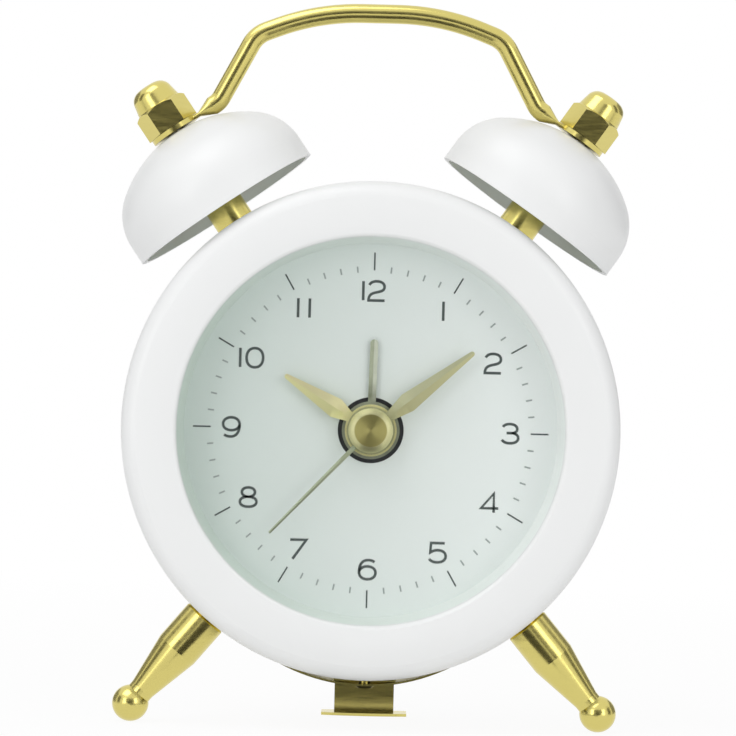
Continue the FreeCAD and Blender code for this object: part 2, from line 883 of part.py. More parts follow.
def arbor_wheel(name, reach_name, wheel_teeth, wheel_module, wheel_phase, wheel_level, pinion):
    """A going-train piece: arbor, wheel and pinion in one."""
    pinion_module, pinion_phase, pinion_front, pinion_back, pivot_back = pinion
    thick = size("wheel_thick")
    wheel = toothed_disc(int(wheel_teeth), wheel_module, wheel_phase, wheel_level, thick)
    pitch = wheel_module * wheel_teeth / 2
    wheel = lightened(wheel, pitch, wheel_level, thick)
    leaves = int(size("pinion_teeth"))
    leaf = toothed_disc(leaves, pinion_module, pinion_phase, pinion_front, pinion_back - pinion_front)
    arbor = rod(size("arbor_radius"), size("bridge_front"), pivot_back)
    wheel_feature(name, arbor.fuse([wheel, leaf]), f"{reach_name}_x", f"{reach_name}_y")


def make_going_train():
    module = size("gear_module")
    leaves = int(size("pinion_teeth"))
    thick = size("wheel_thick")
    gap = size("wheel_gap")
    back = size("back_plate_back")
    fifth_turn = math.radians(size("fifth_direction"))
    rotor_turn = math.radians(size("rotor_direction"))
    third_turn = math.radians(size("third_direction"))
    fifth_teeth = int(size("fifth_teeth"))
    second_teeth = int(size("second_teeth"))
    third_teeth = int(size("third_teeth"))
    centre_teeth = int(size("centre_teeth"))
    overlap = gap / 3

    level = size("fifth_level")
    magnet = rod(size("magnet_radius"), size("magnet_level"), size("magnet_level") + size("magnet_thick"))
    leaf = toothed_disc(leaves, module, rotor_turn + math.pi, level - overlap, thick + gap + overlap)
    arbor = rod(size("arbor_radius"), size("bridge_front"), back)
    wheel_feature("rotor", arbor.fuse([magnet, leaf]), "rotor_x", "rotor_y")

    fifth_phase = mesh_phase(rotor_turn + math.pi, leaves, rotor_turn + math.pi, fifth_teeth)
    second_level = size("second_level")
    fifth_pinion = (module, fifth_turn + math.pi, second_level - overlap, level, back)
    arbor_wheel("fifth_wheel", "fifth", fifth_teeth, module, fifth_phase, level, fifth_pinion)

    second_phase = mesh_phase(fifth_turn + math.pi, leaves, fifth_turn + math.pi, second_teeth)
    third_level = size("third_level")
    wheel = toothed_disc(second_teeth, module, second_phase, second_level, thick)
    pitch = module * second_teeth / 2
    wheel = lightened(wheel, pitch, second_level, thick)
    leaf_front = third_level - overlap
    leaf = toothed_disc(leaves, module, third_turn, leaf_front, second_level - leaf_front)
    arbor = rod(size("second_arbor"), -size("second_hand_level") - size("hand_thick"), back)
    wheel_feature("second_wheel", arbor.fuse([wheel, leaf]))

    third_phase = mesh_phase(third_turn, leaves, third_turn, third_teeth)
    centre_level = size("centre_level")
    centre_module = size("centre_module")
    third_pinion = (centre_module, third_turn + math.pi, centre_level - overlap, third_level, back)
    arbor_wheel("third_wheel", "third", third_teeth, module, third_phase, third_level, third_pinion)

    centre_phase = mesh_phase(third_turn + math.pi, leaves, third_turn + math.pi, centre_teeth)
    wheel = toothed_disc(centre_teeth, centre_module, centre_phase, centre_level, thick)
    pitch = centre_module * centre_teeth / 2
    wheel = lightened(wheel, pitch, centre_level, thick)
    bore = rod(size("minute_pipe + running_fit"), centre_level - gap, centre_level + thick + gap)
    wheel_feature("centre_wheel", wheel.cut(bore))


def make_motion_work():
    module = size("gear_module")
    thick = size("wheel_thick")
    gap = size("wheel_gap")
    overlap = gap / 3
    cannon_level = size("cannon_level")
    hour_level = size("hour_level")
    motion_turn = math.radians(size("motion_direction"))
    cannon_teeth = int(size("cannon_teeth"))
    motion_teeth = int(size("motion_teeth"))
    hour_teeth = int(size("hour_teeth"))
    motion_pinion = int(size("motion_pinion_teeth"))
    set_teeth = int(size("set_pinion_teeth"))

    pipe = rod(size("minute_pipe"), -size("minute_hand_level") - size("hand_thick"), size("collar_back"))
    collar = rod(
        size("minute_pipe") + size("pipe_wall"),
        size("centre_level") + thick + size("running_fit"),
        size("collar_back"),
    )
    leaf = toothed_disc(cannon_teeth, module, motion_turn, cannon_level - overlap, thick + 2 * overlap)
    bore = rod(size("minute_bore"), -size("case_front"), size("case_rear"))
    wheel_feature("minute_pipe", pipe.fuse([collar, leaf]).cut(bore))

    motion_phase = mesh_phase(motion_turn, cannon_teeth, motion_turn, motion_teeth)
    wheel = toothed_disc(motion_teeth, module, motion_phase, cannon_level, thick)
    hour_module = size("hour_module")
    back_turn = motion_turn + math.pi
    leaf_front = hour_level - overlap
    leaf = toothed_disc(motion_pinion, hour_module, back_turn, leaf_front, cannon_level - leaf_front)
    bore = rod(size("stud_radius + running_fit"), hour_level - gap, cannon_level + thick + gap)
    wheel_feature("motion_wheel", wheel.fuse(leaf).cut(bore), "motion_x", "motion_y")

    hour_phase = mesh_phase(back_turn, motion_pinion, back_turn, hour_teeth)
    wheel = toothed_disc(hour_teeth, hour_module, hour_phase, hour_level, thick)
    pipe = rod(size("hour_pipe"), -size("hour_hand_level") - size("hand_thick"), hour_level + thick)
    bore = rod(size("hour_bore"), -size("case_front"), size("case_rear"))
    wheel_feature("hour_wheel", wheel.fuse(pipe).cut(bore))

    to_set = math.atan2(size("set_y - motion_y"), size("set_x - motion_x"))
    set_phase = mesh_phase(motion_phase, motion_teeth, to_set, set_teeth)
    leaf_front = cannon_level - overlap
    leaf_back = cannon_level + thick + overlap
    leaf = toothed_disc(set_teeth, module, set_phase, leaf_front, leaf_back - leaf_front)
    wheel_feature("time_set_shaft", set_shaft(leaf_front, leaf_back).fuse(leaf), "set_x", "set_y")


def set_shaft(collar_front, collar_back):
    """A shaft with a thin front pivot, thicker from its toothed wheel back to the knob."""
    pivot = rod(size("set_pivot_radius"), size("dial_thick + hole_fit"), collar_back)
    shaft = rod(size("set_shaft_radius"), collar_front, size("cover_back + knob_gap + knob_bore_depth"))
    return pivot.fuse(shaft)


def make_alarm_work():
    module = size("gear_module")
    thick = size("wheel_thick")
    level = size("alarm_level")
    teeth = int(size("alarm_teeth"))
    turn = math.atan2(size("set_y"), -size("set_x"))
    wheel = toothed_disc(teeth, module, turn, level, thick)
    pipe = rod(size("alarm_pipe"), -size("alarm_hand_level") - size("hand_thick"), level + thick)
    bore = rod(size("alarm_bore"), -size("case_front"), size("case_rear"))
    wheel_feature("alarm_wheel", wheel.fuse(pipe).cut(bore))
    set_phase = mesh_phase(turn, teeth, turn, teeth)
    leaf = toothed_disc(teeth, module, set_phase, level, thick)
    wheel_feature("alarm_set_shaft", set_shaft(level, level + thick).fuse(leaf), "0 - set_x", "set_y")


# Motor, board and buzzer.


def make_motor():
    back = "0 - back_plate_front"
    front = "stator_thick - back_plate_front"
    body = new_body("stator")
    ring = new_sketch(body, "XY_Plane", "Ring", back)
    circle(ring, "rotor_x", "rotor_y", "stator_ring")
    pad(body, ring, "stator_thick", "RingPad")
    reach = "coil_y - core_height / 2"
    left = "coil_left - stator_arm - hole_fit * 2"
    arm = new_sketch(body, "XY_Plane", "LeftArm", back)
    outline(
        arm,
        [
            (left, "rotor_y + core_height / 2"),
            ("rotor_x", "rotor_y + core_height / 2"),
            ("rotor_x", "rotor_y - core_height / 2"),
            (f"{left} + stator_arm", "rotor_y - core_height / 2"),
            (f"{left} + stator_arm", reach),
            (left, reach),
        ],
    )
    pad(body, arm, "stator_thick", "LeftArmPad")
    right = "coil_right + hole_fit * 2"
    arm = new_sketch(body, "XY_Plane", "RightArm", back)
    outline(
        arm,
        [
            (right, "rotor_y"),
            (f"{right} + stator_arm", "rotor_y"),
            (f"{right} + stator_arm", reach),
            (right, reach),
        ],
    )
    pad(body, arm, "stator_thick", "RightArmPad")
    hole = new_sketch(body, "XY_Plane", "Hole", front)
    circle(hole, "rotor_x", "rotor_y", "stator_hole")
    pocket(body, hole, "HoleCut")
    place(body)

    body = new_body("coil_core")
    core = new_sketch(body, "XY_Plane", "Core", front)
    top = "coil_y + core_height / 2"
    far = f"{right} + stator_arm"
    outline(core, [(left, top), (far, top), (far, reach), (left, reach)])
    pad(body, core, "stator_thick", "CorePad")
    place(body)

    body = new_body("coil")
    winding = new_sketch(body, "YZ_Plane", "Winding", "coil_left")
    circle(winding, "coil_y", "stator_thick * 1.5 - back_plate_front", "coil_radius")
    pad(body, winding, "coil_right - coil_left", "WindingPad")
    slot = new_sketch(body, "YZ_Plane", "Slot", "coil_left")
    outline(
        slot,
        [
            (f"{reach} - hole_fit", f"{front} - hole_fit"),
            (f"{top} + hole_fit", f"{front} - hole_fit"),
            (f"{top} + hole_fit", f"{front} + stator_thick + hole_fit"),
            (f"{reach} - hole_fit", f"{front} + stator_thick + hole_fit"),
        ],
    )
    pocket(body, slot, "SlotCut", forward=True)
    place(body)


def make_board():
    body = new_body("circuit_board")
    sketch = new_sketch(body, "XY_Plane", "Board", "0 - back_plate_back")
    side = "board_half_width"
    outline(
        sketch,
        [
            (side, "board_top"),
            (side, "board_bottom"),
            (f"0 - {side}", "board_bottom"),
            (f"0 - {side}", "board_top"),
        ],
    )
    pad(body, sketch, "board_thick", "BoardPad", backward=True)
    place(body)
    board_back = "back_plate_back + board_thick"
    chip = new_body("control_chip")
    low = f"0 - ({board_back})"
    high = f"{low} - chip_thick"
    revolve(
        chip,
        [("0", low), ("chip_radius", low), ("chip_top_radius", high), ("0", high)],
    )
    place(chip, "0 - board_half_width / 2", "board_bottom / 3")
    crystal = new_body("quartz_crystal")
    sketch = new_sketch(crystal, "YZ_Plane", "Can")
    circle(sketch, "board_bottom / 2", f"0 - ({board_back}) - crystal_radius", "crystal_radius")
    pad(crystal, sketch, "crystal_length", "CanPad")
    place(crystal, "board_half_width / 4")


def make_buzzer():
    body = disc("buzzer", "buzzer_radius", "buzzer_thick - case_rear", "buzzer_thick")
    place(body, "buzzer_x", "buzzer_y")


# Hands.


def hand_turn(angle):
    return FreeCAD.Rotation(V(0, 0, 1), -size(angle))


def make_hand(name, level, hub, bore, blade, angle, arcs):
    """A flat hand that points up its own Y axis, with a round hub on its pipe."""
    body = new_body(name)
    top = f"{level} + hand_thick"
    revolve(body, [(bore, level), (hub, level), (hub, top), (bore, top)])
    sketch = new_sketch(body, "XY_Plane", "Blade", level)
    outline(sketch, blade, arcs)
    pad(body, sketch, "hand_thick", "BladePad")
    place(body, turn=hand_turn(angle))
    return body


def spade(length, half, wide_at, inner):
    """A blade that widens from its neck and tapers to a small round tip."""
    return [
        ("0 - hand_neck_half", inner),
        (f"0 - {half}", wide_at),
        ("0 - hand_tip_half", f"{length} - hand_tip_half"),
        ("hand_tip_half", f"{length} - hand_tip_half"),
        (half, wide_at),
        ("hand_neck_half", inner),
    ]


def make_hands():
    tip = {2: ("hand_tip_half * tip_slack", -1)}
    make_hand(
        "hour_hand",
        "hour_hand_level",
        "hour_hub",
        "hour_pipe",
        spade("hour_hand_length", "hour_hand_half", "hour_hand_wide_at", "hour_hub * blade_root"),
        "hour_hand_angle",
        tip,
    )
    make_hand(
        "minute_hand",
        "minute_hand_level",
        "minute_hub",
        "minute_pipe",
        spade("minute_hand_length", "minute_hand_half", "minute_hand_wide_at", "minute_hub * blade_root"),
        "minute_hand_angle",
        tip,
    )
    bar = [
        ("0 - alarm_hand_half", "alarm_hub * blade_root"),
        ("0 - alarm_hand_half", "alarm_hand_length - alarm_hand_half"),
        ("alarm_hand_half", "alarm_hand_length - alarm_hand_half"),
        ("alarm_hand_half", "alarm_hub * blade_root"),
    ]
    make_hand(
        "alarm_hand",
        "alarm_hand_level",
        "alarm_hub",
        "alarm_pipe",
        bar,
        "alarm_hand_angle",
        {1: ("alarm_hand_half * tip_slack", -1)},
    )
    needle = [
        ("0 - second_hand_half", "second_hub * blade_root"),
        ("0 - second_tip_half", "second_hand_length - second_tip_half"),
        ("second_tip_half", "second_hand_length - second_tip_half"),
        ("second_hand_half", "second_hub * blade_root"),
    ]
    make_hand(
        "second_hand",
        "second_hand_level",
        "second_hub",
        "second_arbor",
        needle,
        "second_hand_angle",
        {1: ("second_tip_half * tip_slack", -1)},
    )
    cap = new_body("hand_cap")
    low = "second_hand_level + hand_thick"
    high = f"{low} + cap_thick"
    revolve(
        cap,
        [
            ("0", low),
            ("cap_radius", low),
            ("cap_radius", f"{low} + cap_edge"),
            ("cap_top_radius", high),
            ("0", high),
        ],
        {2: ("cap_round", 1)},
    )
    place(cap, turn=hand_turn("second_hand_angle"))


# Back cover and what sits in it.


def make_back_cover():
    body = new_body("back_cover")
    face = "0 - case_rear"
    back = "0 - cover_back"
    revolve(
        body,
        [
            ("0", face),
            ("spigot_outer - spigot_wall", face),
            ("spigot_outer - spigot_wall", "0 - spigot_front"),
            ("spigot_outer", "0 - spigot_front"),
            ("spigot_outer", face),
            ("cover_radius", face),
            ("cover_radius", f"{back} + case_edge_round"),
            ("cover_radius - case_edge_round", back),
            ("0", back),
        ],
        {6: ("case_edge_round", 1)},
    )
    bay = new_sketch(body, "XY_Plane", "Bay", face)
    circle(bay, "0", "bay_y", "bay_outer")
    pad(body, bay, "case_rear - bay_front", "BayPad")
    cut = new_sketch(body, "XY_Plane", "BayBore", back)
    circle(cut, "0", "bay_y", "bay_bore")
    pocket(body, cut, "BayBoreCut", "cover_back - bay_front - bay_floor", forward=True)
    cut = new_sketch(body, "XY_Plane", "DoorRecess", back)
    circle(cut, "0", "bay_y", "door_radius + door_fit")
    pocket(body, cut, "DoorRecessCut", "cover_back - groove_front", forward=True)
    groove = new_sketch(body, "XY_Plane", "LugGroove", "0 - door_front")
    circle(groove, "0", "bay_y", "groove_radius")
    pocket(body, groove, "LugGrooveCut", "door_front - groove_front", forward=True)
    entry = new_sketch(body, "XY_Plane", "LugEntry", back)
    for side in (1, -1):
        lug_outline(entry, side, "(groove_radius - hole_fit)", "entry_half_angle", "door_turn", "bay_y")
    pocket(body, entry, "LugEntryCut", "door_thick + hole_fit * 2", forward=True)
    holes = new_sketch(body, "XY_Plane", "Holes", back)
    for x, y in SET_SHAFTS:
        circle(holes, x, y, "set_shaft_radius + door_fit")
    for direction in POST_DIRECTIONS:
        x, y = post_centre(direction)
        circle(holes, x, y, "cover_screw + hole_fit")
    circle(holes, "buzzer_x", "buzzer_y", "sound_hole")
    for turn in range(0, 360, 360 // SOUND_HOLES):
        circle(
            holes,
            f"buzzer_x + sound_pitch * cos({turn})",
            f"buzzer_y + sound_pitch * sin({turn})",
            "sound_hole",
        )
    pocket(body, holes, "HoleCut", "cover_thick + hole_fit", forward=True)
    slot = new_sketch(body, "XY_Plane", "SwitchSlot", back)
    width = "(slider_half_width + slider_travel / 2 + slider_fit)"
    height = "(slider_half_height + slider_fit)"
    outline(slot, rectangle(width, height, "switch_y"))
    pocket(body, slot, "SwitchSlotCut", "cover_thick + hole_fit", forward=True)
    place(body)


def rectangle(half_width, half_height, middle):
    return [
        (half_width, f"{middle} + {half_height}"),
        (half_width, f"{middle} - {half_height}"),
        (f"0 - {half_width}", f"{middle} - {half_height}"),
        (f"0 - {half_width}", f"{middle} + {half_height}"),
    ]


def lug_outline(sketch, side, outer, half_angle, turn, middle):
    """A ring sector that reaches from inside the door's disc to the radius outer."""
    inner = "battery_radius"
    start = f"({turn} - {half_angle})"
    end = f"({turn} + {half_angle})"
    sign = "" if side > 0 else "0 - "

    def corner(radius, angle):
        return f"{sign}{radius} * cos({angle})", f"{middle} + {side} * {radius} * sin({angle})"

    outline(
        sketch,
        [corner(inner, start), corner(outer, start), corner(outer, end), corner(inner, end)],
        {1: (outer, 1), 3: (inner, -1)},
    )


def make_battery_door():
    body = new_body("battery_door")
    back = "0 - cover_back + hole_fit"
    front = f"{back} + door_thick"
    revolve(body, [("0", front), ("door_radius", front), ("door_radius", back), ("0", back)])
    lugs = new_sketch(body, "XY_Plane", "Lugs", front)
    for side in (1, -1):
        lug_outline(lugs, side, "lug_radius", "lug_half_angle", "0", "0")
    pad(body, lugs, "lug_thick - hole_fit", "LugPad")
    slot = new_sketch(body, "XY_Plane", "CoinSlot", back)
    outline(slot, rectangle("coin_slot_length / 2", "coin_slot_width / 2", "0"))
    pocket(body, slot, "CoinSlotCut", "coin_slot_depth", forward=True)
    place(body, "0", "bay_y")


def make_battery():
    body = new_body("battery")
    back = "0 - case_rear"
    front = "0 - battery_front"
    step = "battery_radius - battery_step"
    revolve(
        body,
        [
            ("0", front),
            (step, front),
            (step, f"{front} - battery_crimp"),
            ("battery_radius", f"{front} - battery_step"),
            ("battery_radius", back),
            ("0", back),
        ],
    )
    place(body, "0", "bay_y")
    leaf = new_body("battery_leaf")
    floor = "0 - bay_front - bay_floor"
    sketch = new_sketch(leaf, "XY_Plane", "Leaf", f"{floor} - hole_fit")
    outline(sketch, rectangle("leaf_half_length", "leaf_half_width", "0"))
    pad(leaf, sketch, "contact_thick", "LeafPad", backward=True)
    place(leaf, "0", "bay_y")
    side = new_body("battery_side_spring")
    inner = "battery_radius + hole_fit"
    outer = f"({inner} + contact_thick)"
    sketch = new_sketch(side, "XY_Plane", "Spring", f"{back} + hole_fit")
    start = "spring_half_angle"

    def corner(radius, angle):
        return f"({radius}) * sin({angle})", f"({radius}) * cos({angle})"

    outline(
        sketch,
        [
            corner(inner, f"(0 - {start})"),
            corner(outer, f"(0 - {start})"),
            corner(outer, f"({start})"),
            corner(inner, f"({start})"),
        ],
        {1: (outer, -1), 3: (inner, 1)},
    )
    pad(side, sketch, "battery_thick - spring_short", "SpringPad")
    place(side, "0", "bay_y")
    group("battery_contacts", [leaf, side])


def make_switch():
    body = new_body("switch_body")
    sketch = new_sketch(body, "XY_Plane", "Box", "0 - case_rear + hole_fit")
    outline(sketch, rectangle("switch_width / 2", "switch_height / 2", "switch_y"))
    pad(body, sketch, "switch_depth", "BoxPad")
    cut = new_sketch(body, "XY_Plane", "Track", "0 - case_rear + hole_fit")
    width = "(slider_half_width + slider_travel / 2 + slider_fit)"
    height = "(slider_half_height + slider_fit)"
    outline(cut, rectangle(width, height, "switch_y"))
    pocket(body, cut, "TrackCut", "switch_depth / 2", forward=True)
    place(body)
    slider = new_body("alarm_switch")
    sketch = new_sketch(slider, "XY_Plane", "Slider", "0 - case_rear + switch_depth / 2 - hole_fit")
    outline(sketch, rectangle("slider_half_width", "slider_half_height", "switch_y"))
    pad(slider, sketch, "switch_depth / 2 + cover_thick + slider_reach", "SliderPad", backward=True)
    place(slider, "0 - slider_travel / 2")


def make_knob(name, x, y):
    body = new_body(name)
    front = "0 - cover_back - knob_gap"
    back = f"{front} - knob_thick"
    fit = "set_shaft_radius + hole_fit"
    revolve(
        body,
        [
            (fit, front),
            ("knob_radius", front),
            ("knob_radius", f"{back} + knob_flute"),
            ("knob_radius - knob_flute", back),
            ("0", back),
            ("0", f"{front} - knob_bore_depth"),
            (fit, f"{front} - knob_bore_depth"),
        ],
    )
    flute = new_sketch(body, "XY_Plane", "Flute", front)
    circle(flute, "knob_radius + knob_flute * flute_share", "0", "knob_flute")
    cut = pocket(body, flute, "FluteCut")
    pattern = body.newObject("PartDesign::PolarPattern", "Flutes")
    pattern.Originals = [cut]
    pattern.Axis = (flute, ["N_Axis"])
    pattern.Angle = 360
    pattern.Occurrences = KNOB_FLUTES
    body.Tip = pattern
    place(body, x, y)


def make_cover_screws():
    screws = []
    for number, direction in enumerate(POST_DIRECTIONS):
        body = new_body(f"cover_screw_{number}")
        back = "0 - cover_back"
        revolve(
            body,
            [
                ("0", f"{back} - screw_head_thick"),
                ("cover_screw_head * screw_flat", f"{back} - screw_head_thick"),
                ("cover_screw_head", back),
                ("cover_screw", back),
                ("cover_screw", f"{back} + cover_screw_length"),
                ("0", f"{back} + cover_screw_length"),
            ],
            {1: ("cover_screw_head", 1)},
        )
        x, y = post_centre(direction)
        place(body, x, y)
        screws.append(body)
    group("cover_screws", screws)


# Bells, posts, nuts and handle.


def make_bell(name, side):
    body = new_body(name)
    hole = "bell_stud + stud_fit"
    rim = "bell_rim_at"
    centre = f"{rim} + crown_base"
    inner = "(bell_crown - bell_wall)"
    revolve(
        body,
        [
            ("bell_radius - bell_wall", rim),
            ("bell_radius", rim),
            ("bell_radius", f"{rim} + bell_skirt"),
            ("bell_crown * crown_sin", f"{centre} + bell_crown * crown_cos"),
            (hole, f"{centre} + sqrt(bell_crown ^ 2 - ({hole}) ^ 2)"),
            (hole, f"{centre} + sqrt({inner} ^ 2 - ({hole}) ^ 2)"),
            (f"{inner} * crown_sin", f"{centre} + {inner} * crown_cos"),
            ("bell_radius - bell_wall", f"{rim} + bell_skirt"),
        ],
        {
            2: ("bell_shoulder", 1),
            3: ("bell_crown", 1),
            5: (inner, -1),
            6: ("bell_shoulder - bell_wall", -1),
        },
    )
    place_radial(body, side * size("bell_angle"), "bell_level")


def make_bell_post(name, side):
    body = new_body(name)
    bore = "bell_stud + stud_fit"
    foot = "case_radius + hole_fit"
    top = "bell_rim_at + crown_base + sqrt((bell_crown - bell_wall) ^ 2 - post_outer ^ 2) - hole_fit"
    revolve(
        body,
        [
            (bore, foot),
            ("post_outer", foot),
            ("post_outer", f"{top} - post_chamfer"),
            ("post_outer - post_chamfer", top),
            (bore, top),
        ],
    )
    place_radial(body, side * size("bell_angle"), "bell_level")


def make_bell_stud(name, side):
    body = new_body(name)
    end = "tab_top_at + nut_bore_depth - hole_fit"
    revolve(
        body,
        [("0", "stud_inner_end"), ("bell_stud", "stud_inner_end"), ("bell_stud", end), ("0", end)],
    )
    place_radial(body, side * size("bell_angle"), "bell_level")


def hexagon(sketch, flats):
    corner = f"{flats} / sqrt(3)"
    outline(
        sketch,
        [(f"{corner} * cos({60 * step})", f"{corner} * sin({60 * step})") for step in range(6)],
    )


def make_acorn_nut(name, side):
    body = new_body(name)
    seat = "tab_top_at + hole_fit"
    sketch = new_sketch(body, "XY_Plane", "Hexagon", seat)
    hexagon(sketch, "nut_flats")
    pad(body, sketch, "nut_height", "HexagonPad")
    base = f"{seat} + nut_height"
    corner = "nut_flats / sqrt(3) + nut_chamfer"
    revolve(
        body,
        [
            ("dome_radius", base),
            (corner, f"{base} - nut_chamfer * 2"),
            (corner, base),
        ],
        name="Chamfer",
        kind="Groove",
    )
    revolve(
        body,
        [
            ("0", f"{base} - dome_sink"),
            ("dome_radius", f"{base} - dome_sink"),
            ("dome_radius", base),
            ("dome_shoulder", f"{base} + dome_side"),
            ("dome_top", f"{base} + dome_height"),
            ("0", f"{base} + dome_height"),
        ],
        {3: ("dome_round", 1)},
        "Dome",
    )
    bore = new_sketch(body, "XY_Plane", "Bore", seat)
    circle(bore, "0", "0", "bell_stud + stud_fit")
    pocket(body, bore, "BoreCut", "nut_bore_depth", forward=True)
    place_radial(body, side * size("bell_angle"), "bell_level")


def make_inner_nuts():
    nuts = []
    for name, (side, angle, level, stud) in STUD_ANGLES.items():
        body = new_body(f"{name}_inner_nut")
        sketch = new_sketch(body, "XY_Plane", "Hexagon", "inner_nut_seat - inner_nut_thick")
        hexagon(sketch, "inner_nut_flats")
        pad(body, sketch, "inner_nut_thick - inner_nut_relief", "HexagonPad")
        bore = new_sketch(body, "XY_Plane", "Bore", "inner_nut_seat - inner_nut_thick")
        circle(bore, "0", "0", f"{stud} + stud_fit")
        pocket(body, bore, "BoreCut", forward=True)
        place_radial(body, side * size(angle), level)
        nuts.append(body)
    group("inner_nuts", nuts)


def bent_wire(points, bends):
    """Straight runs through points, joined by tangent arcs whose radii are bends."""
    edges = []
    start = points[0]
    for before, corner, after, bend in zip(points, points[1:], points[2:], bends):
        back = (before - corner).normalize()
        on = (after - corner).normalize()
        half = back.getAngle(on) / 2
        setback = bend / math.tan(half)
        first = corner + back * setback
        last = corner + on * setback
        middle = corner + (back + on).normalize() * (bend / math.sin(half) - bend)
        edges.append(Part.makeLine(start, first))
        edges.append(Part.Arc(first, middle, last).toShape())
        start = last
    edges.append(Part.makeLine(start, points[-1]))
    return Part.Wire(edges)


def seated(curve, centre, turn):
    """A closed wire of one curve, drawn about the origin, then turned and moved to centre."""
    edge = curve.toShape()
    edge.Placement = FreeCAD.Placement(centre, turn)
    return Part.Wire([edge])


def make_handle():
    """Round wire, squeezed flat at each end into a washer-like tab that an acorn nut clamps."""
    radius = size("wire_radius")
    thick = size("tab_thick")
    angle = math.radians(size("bell_angle"))
    level = size("bell_level")
    inward = V(-math.cos(angle), math.sin(angle), 0)
    outward = V(math.sin(angle), math.cos(angle), 0)
    seat = outward * size("bell_top_at") + V(0, 0, level)
    tab = seat + outward * (thick / 2)
    end = tab + inward * size("squeeze_start")
    strip = tab + inward * size("squeeze_end")
    low = tab + inward * size("handle_low_at")
    high = seat + V(-size("handle_high_in"), size("handle_high_up"), 0)
    arch = V(high.x * size("handle_arch_share"), seat.y + size("handle_top_up - handle_arch_drop"), level)
    half = [end, low, high, arch]
    mirrored = [V(-p.x, p.y, p.z) for p in reversed(half)]
    bends = [size("handle_low_bend"), size("handle_high_bend"), size("handle_arch_bend")]
    path = bent_wire(half + mirrored, bends + bends[::-1])
    section = Part.Wire(Part.makeCircle(radius, end, inward))
    shape = path.makePipeShell([section], True, False)
    turn = FreeCAD.Rotation(V(0, 0, 1), outward, inward, "ZXY")
    round_end = seated(Part.Circle(V(0, 0, 0), V(0, 0, 1), radius), end, turn)
    oval = Part.Ellipse(V(0, 0, 0), size("strip_half_width"), thick / 2)
    squeezed = Part.makeLoft([round_end, seated(oval, strip, turn)], True)
    tuck = Part.Face(seated(oval, strip, turn)).extrude(inward * -size("strip_tuck"))
    plate = Part.makeCylinder(size("tab_radius"), thick, seat, outward)
    hole = Part.makeCylinder(size("bell_stud + stud_fit"), thick * 3, seat - outward * thick, outward)
    tail = plate.fuse([tuck, squeezed]).cut(hole)
    mirror = tail.mirror(V(0, 0, 0), V(1, 0, 0))
    shape = shape.fuse([tail, mirror])
    item = document.addObject("Part::Feature", "handle")
    item.Label = "handle"
    item.Shape = shape
    place(item)


# Legs, strap and rear foot.


def make_leg(name, side):
    body = new_body(name)
    seat = "leg_shoulder_at"
    barrel_end = f"{seat} + leg_barrel"
    neck = f"{barrel_end} + leg_taper"
    revolve(
        body,
        [
            ("0", "stud_inner_end"),
            ("leg_stud", "stud_inner_end"),
            ("leg_stud", seat),
            ("leg_radius - leg_chamfer", seat),
            ("leg_radius", f"{seat} + leg_chamfer"),
            ("leg_radius", barrel_end),
            ("leg_neck", neck),
            ("leg_neck", "leg_ball_at - ball_drop"),
            ("leg_ball", "leg_ball_at"),
            ("0", "leg_ball_at + leg_ball"),
        ],
        {7: ("leg_ball", 1), 8: ("leg_ball", 1)},
    )
    place_radial(body, side * size("180 - leg_angle"), "leg_level")


def bow_radius(edge, bottom):
    """The radius of an arc that leaves the circle edge at strap_turn and is lowest at bottom."""
    rise = f"({bottom} - {edge} * cos(strap_turn))"
    return f"(({edge} * sin(strap_turn)) ^ 2 + {rise} ^ 2) / (2 * {rise})"


def make_strap():
    """A bent band that follows the case at the legs and bows away from it over the rear foot."""
    body = new_body("leg_strap_bent")
    sketch = new_sketch(body, "XY_Plane", "Band", "leg_level - strap_half_width")
    inner = "strap_inner"
    outer = "strap_outer"
    right = [("", "strap_end_angle"), ("", "strap_turn")]
    turns = right + [("0 - ", turn) for sign, turn in reversed(right)]
    run = [(inner, sign, turn) for sign, turn in turns]
    run += [(outer, sign, turn) for sign, turn in reversed(turns)]
    corners = [(f"{sign}{edge} * sin({turn})", f"0 - {edge} * cos({turn})") for edge, sign, turn in run]
    outline(
        sketch,
        corners,
        {
            0: (inner, -1),
            1: (bow_radius(inner, "strap_bottom"), -1),
            2: (inner, -1),
            4: (outer, 1),
            5: (bow_radius(outer, "(strap_bottom + strap_thick)"), 1),
            6: (outer, 1),
        },
    )
    pad(body, sketch, "strap_half_width * 2", "BandPad")
    place(body)
    drills = stud_drills(("leg_left", "leg_right"))
    drills.append((180, "leg_level", "rivet_radius + hole_fit"))
    drilled("leg_strap", body, drills)


